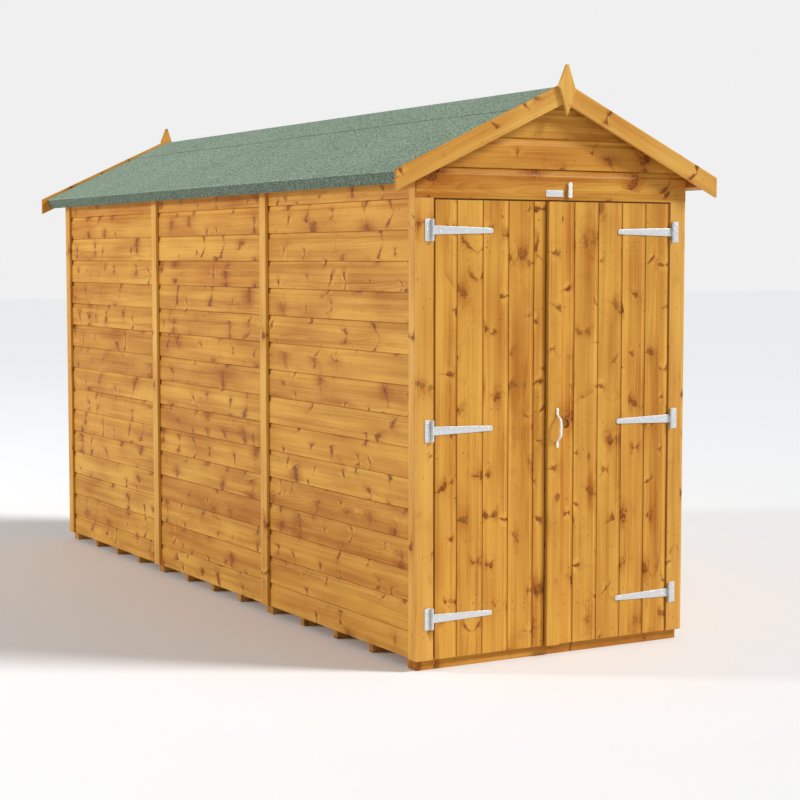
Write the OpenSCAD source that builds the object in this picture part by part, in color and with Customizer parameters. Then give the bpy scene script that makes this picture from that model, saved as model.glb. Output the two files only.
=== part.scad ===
// Apex garden shed, 12 x 4 ft nominal: shiplap panels on a framed floor, double doors
// in the front gable and a pitched roof of boards under mineral felt.
// Origin on the ground under the middle of the shed. The front faces -Y, +Z is up.

/* [Shed] */
// Width over the cladding of the side walls
shed_w = 1200; // [1000:10:1800]
// Length of each of the three side wall panels
panel_l = 1200; // [900:10:1500]
// Height of the lower edge of the cladding above the ground
clad_bottom_z = 39; // [25:1:50]
// Pitch of the roof in degrees
roof_pitch = 25; // [18:1:32]
// Height of the side cladding's upper edge above the ground
wall_top_z = 1860; // [1780:1:2200]

/* [Cladding and strips] */
// Thickness of the shiplap boards
clad_t = 12; // [10:1:20]
// Width of the cover strips at the corners and panel joints
strip_w = 58; // [40:1:80]
// Thickness of the corner strips
corner_strip_t = 12; // [8:1:20]
// Thickness of the cover strips at the panel joints
joint_strip_t = 14; // [8:1:20]

/* [Wall framing] */
// Depth of the wall framing behind the cladding
frame_d = 28; // [22:1:50]
// Face width of the studs and rails
frame_w = 38; // [28:1:60]
// Depth of the posts and head rail around the doors
door_frame_d = 68; // [45:1:90]
// Height of the head rail over the doors
head_rail_h = 48; // [38:1:70]
// Gap left between neighbouring panels and floor sections
panel_gap = 1; // [0.5:0.5:3]

/* [Floor] */
// Thickness of the floor boards
floor_board_t = 12; // [10:1:20]
// Height of the bearers
bearer_h = 44; // [38:1:60]
// Width of the bearers
bearer_w = 28; // [22:1:50]
// Bearers under each floor section
bearer_count = 5; // [4:1:6]
// Depth of the door sill from front to back
sill_d = 60; // [28:1:64]

/* [Doors] */
// Height of the upper edge of the doors
door_top_z = 1727; // [1600:1:1760]
// Height of the lower edge of the doors
door_bottom_z = 40; // [30:1:60]
// Thickness of the door boards
door_t = 12; // [10:1:20]
// Width of the right front stile beside the doors
stile_w = 60; // [50:1:80]
// Gap between a door and the stile beside it
door_side_gap = 8; // [6:1:12]
// Gap over the doors
door_head_gap = 6; // [6:1:12]
// Gap between the two doors
door_meet_gap = 6; // [6:1:10]
// Distance of the doors' meeting edge from the middle of the shed
door_meet_x = 44.5; // [0:0.5:60]
// Width of the cover strip on the right door
door_strip_w = 58; // [40:1:80]
// Thickness of the cover strip on the right door
door_strip_t = 15; // [10:1:20]
// Heights of the ledges across the back of a door
ledge_z = [213, 881, 1559]; // [150:1:1640]
// Width of the ledges
ledge_w = 95; // [70:1:120]
// Thickness of the ledges and braces
ledge_t = 20; // [15:1:30]
// Width of the diagonal braces
brace_w = 70; // [50:1:95]
// Free space between a ledge and the door's side edges
ledge_inset = 30; // [26:1:60]
// Diameter of the finger hole in the right door
finger_hole_d = 34; // [20:1:40]
// Distance of the finger hole from the middle of the shed
finger_hole_x = 46; // [40:1:80]
// Thickness of the stops that the doors close against
stop_t = 20; // [15:1:25]
// Width of the stops from front to back
stop_w = 40; // [25:1:60]
// Clearance between the closed doors and the stops
stop_gap = 6; // [5:1:12]

/* [Hinges] */
// Heights of the three hinges on each door
hinge_z = [193, 886, 1617]; // [150:1:1660]
// Diameter of the hinge knuckles
knuckle_d = 12; // [10:1:16]
// Diameter of the hinge pins
pin_d = 6; // [4:0.5:8]
// Radial clearance of the pin in the moving knuckle
pin_gap = 0.3; // [0.2:0.1:0.6]
// Gap between the knuckles along the pin
knuckle_gap = 0.6; // [0.3:0.1:1]
// Distance of the hinge pin from the door's edge
pin_inset = 16; // [14:1:20]
// Height of the hinge plates on the stiles
plate_h = 80; // [60:1:100]
// Distance from the pin to the outer edge of a hinge plate
plate_w = 30; // [24:1:36]
// Thickness of the hinge metal
hinge_t = 3; // [2:0.5:4]
// Length of a strap from the pin
strap_l = 263; // [150:1:350]
// Height of a strap at the pin
strap_root_h = 32; // [24:1:45]
// Height of a strap at its tip
strap_tip_h = 19; // [12:1:24]

/* [Handle and turn button] */
// Overall height of the handle
handle_h = 153; // [110:1:200]
// Height of the middle of the handle
handle_z = 874; // [700:1:1000]
// Distance of the handle from the middle of the shed
handle_x = -3; // [-15:1:5]
// Width of the handle
handle_w = 14; // [10:1:20]
// How far the handle stands out from the cover strip
handle_out = 30; // [25:1:45]
// Thickness of the handle's pads and grip
handle_t = 4; // [3:0.5:6]
// Height of each screw pad of the handle
handle_pad_h = 29; // [20:1:35]
// Distance of the turn button from the middle of the shed
button_x = 55; // [30:1:200]
// Height of the turn button's pivot above the doors
button_rise = 30; // [24:1:40]
// Long arm of the turn button, from pivot to tip
button_long = 44; // [38:1:60]
// Short arm of the turn button, from pivot to tip
button_short = 15; // [11:1:20]
// Width of the turn button at its ends
button_w = 20; // [16:1:24]
// Width of the turn button at its waist
button_waist = 15; // [10:1:20]
// Thickness of the turn button
button_t = 6; // [4:1:10]
// Gap between the turn button and the doors
button_gap = 5; // [5:1:8]

/* [Name plate] */
// Width of the blank name plate
name_plate_w = 78; // [50:1:120]
// Height of the blank name plate
name_plate_h = 25; // [18:1:40]
// Thickness of the blank name plate
name_plate_t = 2; // [1:0.5:4]
// Height of the name plate's lower edge over the header's lower edge
name_plate_rise = 12; // [6:1:40]
// Distance of the name plate's middle from the middle of the shed
name_plate_x = -11; // [-60:1:0]

/* [Roof] */
// Thickness of the mineral felt
felt_t = 3; // [2:0.5:5]
// Thickness of the roof boards
roof_board_t = 11; // [9:1:20]
// Overhang of the roof past the side cladding, level
eave_overhang = 100; // [60:1:140]
// Depth of the felted eave edge, square to the slope
eave_depth = 51; // [40:1:80]
// Thickness of the eaves rail
eaves_rail_t = 22; // [18:1:30]
// Overhang of the roof past the gable cladding
gable_overhang = 39; // [25:1:80]
// Depth of the purlins and gable rafters, square to the slope
rafter_d = 40; // [34:1:60]
// Depth of the ridge purlin
ridge_purlin_d = 70; // [50:1:90]
// Thickness of the barge boards and finials
barge_t = 14; // [10:1:20]
// Width of the barge boards, square to the slope
barge_w = 70; // [55:1:90]
// Height of the barge boards' upper edge over the felt, square to the slope
barge_stand = 12; // [5:1:20]
// Overhang of the barge boards past the felted eaves, level
barge_overhang = 26; // [10:1:40]
// Height of a finial above the barge boards' apex
finial_rise = 64; // [40:1:90]
// Overall height of a finial
finial_h = 190; // [140:1:230]
// Share of a finial's height that lies above its widest point
finial_head = 0.44; // [0.3:0.01:0.6]
// Left side corner of a finial above its widest point, and right one below it
finial_lean = 8; // [0:1:15]
// Width of a finial at its widest
finial_w = 73; // [50:1:90]

/* [Hidden] */
$fn = 48;
eps = 0.02;
seat_gap = 0.3;
half_w = shed_w / 2;
inner_x = half_w - clad_t;
frame_x = inner_x - frame_d;
panel_count = 3;
wall_l = panel_count * panel_l;
front_depth = clad_t + door_frame_d;
rear_depth = clad_t + frame_d;
shed_l = wall_l + front_depth + rear_depth;
front_y = -shed_l / 2;
rear_y = shed_l / 2;
wall_y0 = front_y + front_depth;
wall_y1 = rear_y - rear_depth;
clad_y0 = front_y + clad_t;
clad_y1 = rear_y - clad_t;
joint_ys = [wall_y0 + panel_l, wall_y0 + 2 * panel_l];
floor_z = bearer_h + floor_board_t;

// The felt surface lies under_n above the walls, square to the slope
slope = tan(roof_pitch);
ridge_z = wall_top_z + half_w * slope + (felt_t + roof_board_t + seat_gap) / cos(roof_pitch);
eave_x = half_w + eave_overhang;
eave_s = eave_x / cos(roof_pitch);
board_n = felt_t + roof_board_t;
under_n = board_n + seat_gap;
rafter_n = under_n + rafter_d;
roof_y0 = front_y - gable_overhang;
roof_y1 = rear_y + gable_overhang;
barge_apex_z = ridge_z + barge_stand / cos(roof_pitch);
barge_x = eave_x + barge_overhang;
barge_drop = barge_w / cos(roof_pitch);
finial_top_z = barge_apex_z + finial_rise;
finial_wide_z = finial_top_z - finial_head * finial_h;
finial_tip_w = 8;
mitre_gap = 0.5;

header_z = door_top_z + door_head_gap;
header_x = half_w + corner_strip_t;
door_x = half_w - stile_w - door_side_gap;
stile_x = half_w - stile_w;
door_left_x1 = -door_meet_x - door_meet_gap;
door_right_x0 = -door_meet_x;
door_back_y = front_y + door_t;
ledge_back_y = door_back_y + ledge_t;
stop_y = door_back_y + stop_gap;
stop_inner_x = stile_x - stop_t;
strip_front_y = front_y - door_strip_t;

pin_x = door_x + pin_inset;
knuckle_r = knuckle_d / 2;
pin_y = front_y - knuckle_r - 1;
strap_back_y = front_y - seat_gap;
button_z = door_top_z + button_rise;
button_back_y = front_y - button_gap;
plate_z = header_z + name_plate_rise;

wood = "#d9a050";
light_wood = "#e6b866";
inner_wood = "#c08a48";
felt_green = "#5f7268";
zinc = "#c4c6c4";
cream = "#f2eee2";
silver = "#d6d8d6";

// Height of the plane that lies n below the felt surface, square to the slope, at x
function roof_z(x, n) = ridge_z - slope * abs(x) - n / cos(roof_pitch);

// Point on the right slope, s down the slope from the ridge and n below the felt
function slope_point(s, n) = [
  s * cos(roof_pitch) - n * sin(roof_pitch),
  ridge_z - s * sin(roof_pitch) - n * cos(roof_pitch)
];

// Outline in the XZ plane that runs from y0 to y1
module along_y(y0, y1, points) {
  translate([0, y1, 0])
    rotate([90, 0, 0])
      linear_extrude(height = y1 - y0)
        polygon(points);
}

// Box given by its low and high corners
module block(low, high) {
  translate(low)
    cube(high - low);
}

// The children and their mirror image across the middle of the shed
module both_sides() {
  children();
  mirror([1, 0, 0])
    children();
}

// A piece with an upright outline whose top follows the underside of a roof layer
module under_roof(x0, x1, z0, y0, y1, n) {
  top = (x0 < 0 && x1 > 0)
    ? [[x1, roof_z(x1, n)], [0, roof_z(0, n)], [x0, roof_z(x0, n)]]
    : [[x1, roof_z(x1, n)], [x0, roof_z(x0, n)]];
  along_y(y0, y1, concat([[x0, z0], [x1, z0]], top));
}

// Y of the low edge of bearer k under floor section i
function bearer_y(i, k) = wall_y0 + i * panel_l + panel_gap / 2
  + k * (panel_l - panel_gap - bearer_w) / (bearer_count - 1);

module floor_bearers() {
  color(inner_wood)
    for (i = [0 : panel_count - 1], k = [0 : bearer_count - 1])
      block([-inner_x, bearer_y(i, k), 0], [inner_x, bearer_y(i, k) + bearer_w, bearer_h]);
}

module floor_boards() {
  color(inner_wood)
    for (i = [0 : panel_count - 1])
      block([-inner_x, wall_y0 + i * panel_l + panel_gap / 2, bearer_h],
        [inner_x, wall_y0 + (i + 1) * panel_l - panel_gap / 2, floor_z]);
}

// Two sill timbers meet under the doors, notched at their outer ends under the
// side panels, and one lies under the rear wall
module sills() {
  color(wood) {
    both_sides()
      along_y(wall_y0 - sill_d, wall_y0 + panel_gap / 2, [
        [panel_gap / 2, 0],
        [half_w, 0],
        [half_w, clad_bottom_z - panel_gap / 2],
        [inner_x, clad_bottom_z - panel_gap / 2],
        [inner_x, floor_z],
        [panel_gap / 2, floor_z]
      ]);
    block([-inner_x, wall_y1 - panel_gap / 2, 0], [inner_x, clad_y1, floor_z]);
  }
}

module side_panel(y0, y1) {
  color(wood)
    under_roof(inner_x, half_w, clad_bottom_z, y0, y1, under_n);
}

module right_front_panel() {
  side_panel(clad_y0, joint_ys[0] - panel_gap / 2);
}

module right_middle_panel() {
  side_panel(joint_ys[0] + panel_gap / 2, joint_ys[1] - panel_gap / 2);
}

module right_rear_panel() {
  side_panel(joint_ys[1] + panel_gap / 2, clad_y1);
}

module left_front_panel() {
  mirror([1, 0, 0]) right_front_panel();
}

module left_middle_panel() {
  mirror([1, 0, 0]) right_middle_panel();
}

module left_rear_panel() {
  mirror([1, 0, 0]) right_rear_panel();
}

module rear_panel() {
  color(wood)
    under_roof(-half_w, half_w, clad_bottom_z, clad_y1, rear_y, under_n);
}

// The boards over the doors lap the ends of the front corner strips
module front_gable() {
  color(wood)
    under_roof(-header_x, header_x, header_z, front_y, clad_y0, under_n);
}

// The left stile covers the front edge of the corner strip beside it
module front_stiles() {
  color(light_wood) {
    block([-header_x, front_y, clad_bottom_z], [-stile_x, clad_y0, header_z]);
    block([stile_x, front_y, clad_bottom_z], [half_w, clad_y0, header_z]);
  }
}

// Height of the upper rail's lower face
top_rail_z = roof_z(inner_x, under_n) - frame_w;

module right_wall_rails() {
  color(inner_wood)
    for (i = [0 : panel_count - 1]) {
      y0 = wall_y0 + i * panel_l + panel_gap / 2;
      y1 = wall_y0 + (i + 1) * panel_l - panel_gap / 2;
      block([frame_x, y0, floor_z], [inner_x, y1, floor_z + frame_w]);
      under_roof(frame_x, inner_x, top_rail_z, y0, y1, under_n);
    }
}

module left_wall_rails() {
  mirror([1, 0, 0]) right_wall_rails();
}

module right_wall_studs() {
  color(inner_wood)
    for (i = [0 : panel_count - 1], k = [0 : 2]) {
      y0 = wall_y0 + i * panel_l + panel_gap / 2 + k * (panel_l - panel_gap - frame_w) / 2;
      block([frame_x, y0, floor_z + frame_w], [inner_x, y0 + frame_w, top_rail_z]);
    }
}

module left_wall_studs() {
  mirror([1, 0, 0]) right_wall_studs();
}

module rear_bottom_rail() {
  color(inner_wood)
    block([-inner_x, wall_y1 + seat_gap, floor_z], [inner_x, clad_y1, floor_z + frame_w]);
}

module rear_studs() {
  color(inner_wood) {
    both_sides()
      under_roof(inner_x - frame_w, inner_x, floor_z + frame_w, wall_y1 + seat_gap, clad_y1,
        rafter_n + seat_gap);
    under_roof(-frame_w / 2, frame_w / 2, floor_z + frame_w, wall_y1 + seat_gap, clad_y1,
      rafter_n + seat_gap);
  }
}

module door_posts() {
  color(inner_wood)
    both_sides()
      block([stile_x, clad_y0, floor_z], [inner_x, wall_y0, header_z]);
}

module head_rail() {
  color(inner_wood)
    block([-inner_x, clad_y0, header_z], [inner_x, wall_y0, header_z + head_rail_h]);
}

// Battens that the doors close against, at both sides and over them
module door_stops() {
  color(inner_wood) {
    both_sides()
      block([stop_inner_x, stop_y, floor_z], [stile_x, stop_y + stop_w, header_z - frame_w]);
    block([-stile_x, stop_y, header_z - frame_w + seat_gap], [stile_x, stop_y + stop_w, header_z]);
  }
}

// Short studs between the head rail and the front rafters
module gable_studs() {
  z0 = header_z + head_rail_h;
  color(inner_wood) {
    both_sides()
      under_roof(inner_x - frame_w, inner_x, z0, clad_y0, clad_y0 + frame_d, rafter_n + seat_gap);
    under_roof(-frame_w / 2, frame_w / 2, z0, clad_y0, clad_y0 + frame_d, rafter_n + seat_gap);
  }
}

module gable_rafter(y0, y1) {
  along_y(y0, y1, [
    [mitre_gap, roof_z(mitre_gap, rafter_n)],
    [inner_x, roof_z(inner_x, rafter_n)],
    [inner_x, roof_z(inner_x, under_n)],
    [mitre_gap, roof_z(mitre_gap, under_n)]
  ]);
}

module gable_rafters() {
  color(inner_wood)
    both_sides() {
      gable_rafter(clad_y0, clad_y0 + frame_d);
      gable_rafter(clad_y1 - frame_d + seat_gap, clad_y1);
    }
}

// One purlin under the ridge and one half way down each slope
module purlins() {
  y0 = clad_y0 + frame_d;
  y1 = clad_y1 - frame_d;
  color(inner_wood) {
    under_roof(-frame_w / 2, frame_w / 2, ridge_z - ridge_purlin_d, y0, y1, under_n);
    both_sides()
      along_y(y0, y1, [for (c = [[-1, under_n], [1, under_n], [1, rafter_n], [-1, rafter_n]])
        slope_point(eave_s / 2 + c[0] * frame_w / 2, c[1])]);
  }
}

module roof_boards() {
  s = eave_s - felt_t;
  color(inner_wood)
    both_sides()
      along_y(roof_y0, roof_y1, [
        [mitre_gap, roof_z(mitre_gap, felt_t + eps)],
        slope_point(s - eps, felt_t + eps),
        slope_point(s - eps, board_n),
        [mitre_gap, roof_z(mitre_gap, board_n)]
      ]);
}

module eaves_rails() {
  s1 = eave_s - felt_t - eps;
  s0 = s1 - eaves_rail_t;
  color(inner_wood)
    both_sides()
      along_y(roof_y0, roof_y1, [
        slope_point(s0, board_n + eps),
        slope_point(s1, board_n + eps),
        slope_point(s1, eave_depth),
        slope_point(s0, eave_depth)
      ]);
}

// The felt covers one slope and turns down over the edge of the eaves rail
module right_felt() {
  color(felt_green)
    along_y(roof_y0, roof_y1, [
      [mitre_gap / 2, roof_z(mitre_gap / 2, 0)],
      slope_point(eave_s, 0),
      slope_point(eave_s, eave_depth),
      slope_point(eave_s - felt_t, eave_depth),
      slope_point(eave_s - felt_t, felt_t),
      [mitre_gap / 2, roof_z(mitre_gap / 2, felt_t)]
    ]);
}

module left_felt() {
  mirror([1, 0, 0]) right_felt();
}

module barge_pair(y0, y1) {
  color(light_wood)
    both_sides()
      along_y(y0, y1, [
        [mitre_gap / 2, barge_apex_z - barge_drop - slope * mitre_gap / 2],
        [barge_x, barge_apex_z - barge_drop - slope * barge_x],
        [barge_x, barge_apex_z - slope * barge_x],
        [mitre_gap / 2, barge_apex_z - slope * mitre_gap / 2]
      ]);
}

module front_barge_boards() {
  barge_pair(roof_y0 - barge_t, roof_y0);
}

module rear_barge_boards() {
  barge_pair(roof_y1, roof_y1 + barge_t);
}

module finial(y0, y1) {
  color(light_wood)
    along_y(y0, y1, [
      [0, finial_top_z - finial_h],
      [finial_w / 2, finial_wide_z - finial_lean],
      [finial_tip_w / 2, finial_top_z],
      [-finial_tip_w / 2, finial_top_z],
      [-finial_w / 2, finial_wide_z + finial_lean]
    ]);
}

module front_finial() {
  finial(roof_y0 - 2 * barge_t, roof_y0 - barge_t);
}

module rear_finial() {
  finial(roof_y1 + barge_t, roof_y1 + 2 * barge_t);
}

module joint_strips() {
  color(light_wood)
    both_sides()
      for (y = joint_ys)
        under_roof(half_w, half_w + joint_strip_t, clad_bottom_z, y - strip_w / 2,
          y + strip_w / 2, under_n);
}

// The right strip shows its front edge and is notched for the end of the front gable
module front_corner_strips() {
  y1 = front_y + strip_w;
  color(light_wood) {
    mirror([1, 0, 0])
      under_roof(half_w, header_x, clad_bottom_z, clad_y0, y1, under_n);
    difference() {
      under_roof(half_w, header_x, clad_bottom_z, front_y, y1, under_n);
      block([half_w - 1, front_y - 1, header_z - seat_gap], [header_x + 1, clad_y0, ridge_z]);
    }
  }
}

module rear_corner_strips() {
  color(light_wood)
    both_sides()
      under_roof(half_w, header_x, clad_bottom_z, rear_y - strip_w, rear_y, under_n);
}

module name_plate() {
  color(silver)
    block([name_plate_x - name_plate_w / 2, front_y - name_plate_t, plate_z],
      [name_plate_x + name_plate_w / 2, front_y, plate_z + name_plate_h]);
}

// Plate, end knuckles and pin of the right door's hinge at height z
module hinge_plate(z) {
  middle_h = strap_root_h / 2 + knuckle_gap;
  translate([pin_x, 0, z]) {
    block([knuckle_r + 1, front_y - hinge_t, -plate_h / 2], [plate_w, front_y, plate_h / 2]);
    for (m = [0, 1])
      mirror([0, 0, m]) {
        block([0, front_y - hinge_t, middle_h], [knuckle_r + 1 + eps, front_y, plate_h / 2]);
        translate([0, pin_y, middle_h])
          cylinder(d = knuckle_d, h = plate_h / 2 - middle_h);
      }
    translate([0, pin_y, -plate_h / 2])
      cylinder(d = pin_d, h = plate_h);
  }
}

module hinge_plates() {
  color(zinc)
    both_sides()
      for (z = hinge_z)
        hinge_plate(z);
}

// Tapered strap with the middle knuckle of a hinge at height z, on side -1 or 1
module hinge_strap(side, z) {
  tip_r = strap_tip_h / 2;
  arm = strap_l - tip_r;
  root_h = strap_root_h / 2;
  translate([side * pin_x, 0, z])
    difference() {
      union() {
        along_y(strap_back_y - hinge_t, strap_back_y, [[0, -root_h], [0, root_h],
          [-side * arm, tip_r], [-side * arm, -tip_r]]);
        translate([-side * arm, strap_back_y, 0])
          rotate([90, 0, 0])
            cylinder(r = tip_r, h = hinge_t);
        translate([0, pin_y, -root_h])
          cylinder(d = knuckle_d, h = strap_root_h);
      }
      translate([0, pin_y, -strap_root_h])
        cylinder(d = pin_d + 2 * pin_gap, h = 2 * strap_root_h);
    }
}

module right_hinge_straps() {
  color(zinc)
    for (z = hinge_z)
      hinge_strap(1, z);
}

module left_hinge_straps() {
  color(zinc)
    for (z = hinge_z)
      hinge_strap(-1, z);
}

module left_door_boards() {
  color(wood)
    block([-door_x, front_y, door_bottom_z], [door_left_x1, door_back_y, door_top_z]);
}

module right_door_boards() {
  color(wood)
    difference() {
      block([door_right_x0, front_y, door_bottom_z], [door_x, door_back_y, door_top_z]);
      translate([finger_hole_x, door_back_y + 1, hinge_z[1]])
        rotate([90, 0, 0])
          cylinder(d = finger_hole_d, h = door_t + 2);
    }
}

module door_ledges(x0, x1) {
  color(inner_wood)
    for (z = ledge_z)
      block([x0, door_back_y, z - ledge_w / 2], [x1, ledge_back_y, z + ledge_w / 2]);
}

// Braces that rise from the hinge side x0 to the free side x1 between the ledges
module door_braces(x0, x1) {
  along = x1 > x0 ? brace_w : -brace_w;
  color(inner_wood)
    for (i = [0, 1]) {
      z0 = ledge_z[i] + ledge_w / 2;
      z1 = ledge_z[i + 1] - ledge_w / 2;
      along_y(door_back_y, ledge_back_y, [[x0, z0], [x0 + along, z0], [x1, z1], [x1 - along, z1]]);
    }
}

left_ledge_x = [-door_x + ledge_inset, door_left_x1 - ledge_inset];
right_ledge_x = [door_right_x0 + ledge_inset, door_x - ledge_inset];

module left_door_ledges() {
  door_ledges(left_ledge_x[0], left_ledge_x[1]);
}

module left_door_braces() {
  door_braces(left_ledge_x[0], left_ledge_x[1]);
}

module right_door_ledges() {
  door_ledges(right_ledge_x[0], right_ledge_x[1]);
}

module right_door_braces() {
  door_braces(right_ledge_x[1], right_ledge_x[0]);
}

module door_strip() {
  color(light_wood)
    block([door_right_x0, strip_front_y, door_bottom_z],
      [door_right_x0 + door_strip_w, front_y, door_top_z]);
}

// Side view of the handle's grip as a half oval bow, out along -Y
function bow(out, half_h, steps) = [for (i = [0 : steps])
  let (a = 180 * i / steps) [-out * pow(sin(a), 0.7), half_h * cos(a)]];

module door_handle() {
  grip_h = handle_h - 2 * handle_pad_h;
  steps = 20;
  outer = bow(handle_out, grip_h / 2 + handle_t, steps);
  inner = bow(handle_out - handle_t, grip_h / 2, steps);
  color(cream)
    translate([handle_x + handle_w / 2, strip_front_y, handle_z]) {
      rotate([90, 0, -90])
        linear_extrude(height = handle_w)
          mirror([1, 0, 0])
            polygon(concat(outer, [for (i = [steps : -1 : 0]) inner[i]]));
      for (m = [0, 1])
        mirror([0, 0, m])
          block([-handle_w, -handle_t, grip_h / 2], [0, 0, handle_h / 2]);
    }
}

// Stands with its long arm up, clear of the doors. Half a turn brings it down over the right door
module turn_button() {
  color(cream)
    translate([button_x, button_back_y, button_z])
      rotate([90, 0, 0]) rotate([0, 0, 90]) {
        linear_extrude(height = button_t)
          polygon([
            [-button_short + button_w / 2, button_waist / 2],
            [button_long - button_w / 2, button_waist / 2],
            [button_long - button_w / 2, -button_waist / 2],
            [-button_short + button_w / 2, -button_waist / 2]
          ]);
        for (x = [-button_short + button_w / 2, button_long - button_w / 2])
          translate([x, 0, 0])
            cylinder(d = button_w, h = button_t);
        translate([0, 0, -button_gap + seat_gap])
          cylinder(d = button_w, h = button_gap);
      }
}

floor_bearers();
floor_boards();
sills();
left_front_panel();
left_middle_panel();
left_rear_panel();
right_front_panel();
right_middle_panel();
right_rear_panel();
rear_panel();
front_gable();
front_stiles();
left_wall_rails();
left_wall_studs();
right_wall_rails();
right_wall_studs();
rear_bottom_rail();
rear_studs();
door_posts();
head_rail();
door_stops();
gable_studs();
gable_rafters();
purlins();
roof_boards();
eaves_rails();
left_felt();
right_felt();
front_barge_boards();
rear_barge_boards();
front_finial();
rear_finial();
joint_strips();
front_corner_strips();
rear_corner_strips();
name_plate();
hinge_plates();
left_door_boards();
left_door_ledges();
left_door_braces();
left_hinge_straps();
right_door_boards();
right_door_ledges();
right_door_braces();
right_hinge_straps();
door_strip();
door_handle();
turn_button();
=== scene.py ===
# Garden shed with double doors: every board, sheet and fitting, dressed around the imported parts
import math
import random

import bmesh
import bpy
from mathutils import Matrix, Vector, noise


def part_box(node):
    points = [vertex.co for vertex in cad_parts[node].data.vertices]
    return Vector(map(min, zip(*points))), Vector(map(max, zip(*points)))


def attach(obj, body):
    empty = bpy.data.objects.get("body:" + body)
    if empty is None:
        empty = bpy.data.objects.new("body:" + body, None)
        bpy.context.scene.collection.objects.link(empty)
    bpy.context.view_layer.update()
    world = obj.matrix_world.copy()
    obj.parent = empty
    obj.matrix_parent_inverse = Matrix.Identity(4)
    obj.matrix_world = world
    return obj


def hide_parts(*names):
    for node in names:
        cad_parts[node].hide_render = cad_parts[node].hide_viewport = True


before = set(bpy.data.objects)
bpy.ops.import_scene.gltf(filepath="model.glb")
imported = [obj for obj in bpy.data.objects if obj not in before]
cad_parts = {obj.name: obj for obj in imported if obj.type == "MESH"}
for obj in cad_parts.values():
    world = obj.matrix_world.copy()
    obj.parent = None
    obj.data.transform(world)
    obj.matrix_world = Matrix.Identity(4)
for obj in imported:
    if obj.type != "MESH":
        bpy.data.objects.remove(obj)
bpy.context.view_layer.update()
scene = bpy.context.scene
mm = 0.001
print("frame loaded:", len(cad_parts), "parts")

cameraSet = {
    "place": (-3.933, -7.518, 1.510),
    "tilt": 85.58,  # degrees from straight down
    "turn": -29.89,
    "lens": 81.7,
    "sensor": 36.0,
}
cameraData = bpy.data.cameras.new("camera")
cameraData.lens = cameraSet["lens"]
cameraData.sensor_width = cameraSet["sensor"]
cameraData.clip_end = 300.0
camera = bpy.data.objects.new("camera", cameraData)
camera.location = cameraSet["place"]
camera.rotation_euler = (math.radians(cameraSet["tilt"]), 0.0, math.radians(cameraSet["turn"]))
scene.collection.objects.link(camera)
scene.camera = camera
print("camera placed")


class Weave:
    # builds one node tree; a value that is a socket is linked, any other is set
    def __init__(self, tree):
        self.tree = tree

    def link(self, source, target):
        self.tree.links.new(source, target)

    def node(self, kind, sockets=None, **settings):
        node = self.tree.nodes.new("ShaderNode" + kind)
        for key, value in settings.items():
            setattr(node, key, value)
        for key, value in (sockets or {}).items():
            if isinstance(value, bpy.types.NodeSocket):
                self.link(value, node.inputs[key])
            else:
                node.inputs[key].default_value = value
        return node

    def calc(self, operation, first, second=0.0, third=0.0, clamp=False):
        sockets = {0: first, 1: second, 2: third}
        return self.node("Math", sockets, operation=operation, use_clamp=clamp).outputs[0]

    def mul(self, first, second):
        return self.calc("MULTIPLY", first, second)

    def div(self, first, second):
        return self.calc("DIVIDE", first, second)

    def sub(self, first, second):
        return self.calc("SUBTRACT", first, second)

    def add(self, first, second, clamp=False):
        return self.calc("ADD", first, second, clamp=clamp)

    def mulAdd(self, first, second, third, clamp=False):
        return self.calc("MULTIPLY_ADD", first, second, third, clamp)

    def vector(self, operation, first, second=(0.0, 0.0, 0.0), third=(0.0, 0.0, 0.0)):
        sockets = {0: first, 1: second, 2: third}
        node = self.node("VectorMath", sockets, operation=operation)
        return node.outputs["Value" if operation == "LENGTH" else "Vector"]

    def fade(self, value, start, end, low=0.0, high=1.0):
        sockets = {"Value": value, "From Min": start, "From Max": end, "To Min": low, "To Max": high}
        return self.node("MapRange", sockets, interpolation_type="SMOOTHSTEP").outputs["Result"]

    def blend(self, factor, first, second, kind="MIX"):
        sockets = {0: factor, 6: first, 7: second}
        return self.node("Mix", sockets, data_type="RGBA", blend_type=kind).outputs[2]

    def cloud(self, place, stretch, detail=2.0, rough=0.5, scale=1.0):
        vector = self.vector("MULTIPLY", place, stretch)
        sockets = {"Vector": vector, "Scale": scale, "Detail": detail, "Roughness": rough}
        return self.node("TexNoise", sockets).outputs["Fac"]

    def axes(self, vector):
        return self.node("SeparateXYZ", {0: vector}).outputs

    def draws(self, colour):
        return self.node("SeparateColor", {0: colour}).outputs

    def place(self):
        return self.node("TexCoord").outputs["Object"]

    def upward(self):
        return self.axes(self.node("NewGeometry").outputs["Normal"])[2]

    def attribute(self, name, output="Fac"):
        return self.node("Attribute", attribute_name=name).outputs[output]

    def group(self, group, sockets):
        return self.node("Group", sockets, node_tree=group).outputs

    def dress(self, shader, looks, height, strength):
        self.link(looks["Colour"], shader.inputs["Base Color"])
        self.link(looks["Roughness"], shader.inputs["Roughness"])
        bump = self.node("Bump", {"Height": height, "Strength": strength, "Distance": mm})
        self.link(bump.outputs["Normal"], shader.inputs["Normal"])


def newGroup(name, inputs, outputs):
    tree = bpy.data.node_groups.new(name, "ShaderNodeTree")
    kinds = {"colour": "NodeSocketColor", "value": "NodeSocketFloat", "vector": "NodeSocketVector"}
    for label, kind, start in inputs:
        socket = tree.interface.new_socket(label, in_out="INPUT", socket_type=kinds[kind])
        if start is not None:
            socket.default_value = start
    for label, kind in outputs:
        tree.interface.new_socket(label, in_out="OUTPUT", socket_type=kinds[kind])
    given = tree.nodes.new("NodeGroupInput").outputs
    return Weave(tree), given, tree.nodes.new("NodeGroupOutput").inputs


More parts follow.
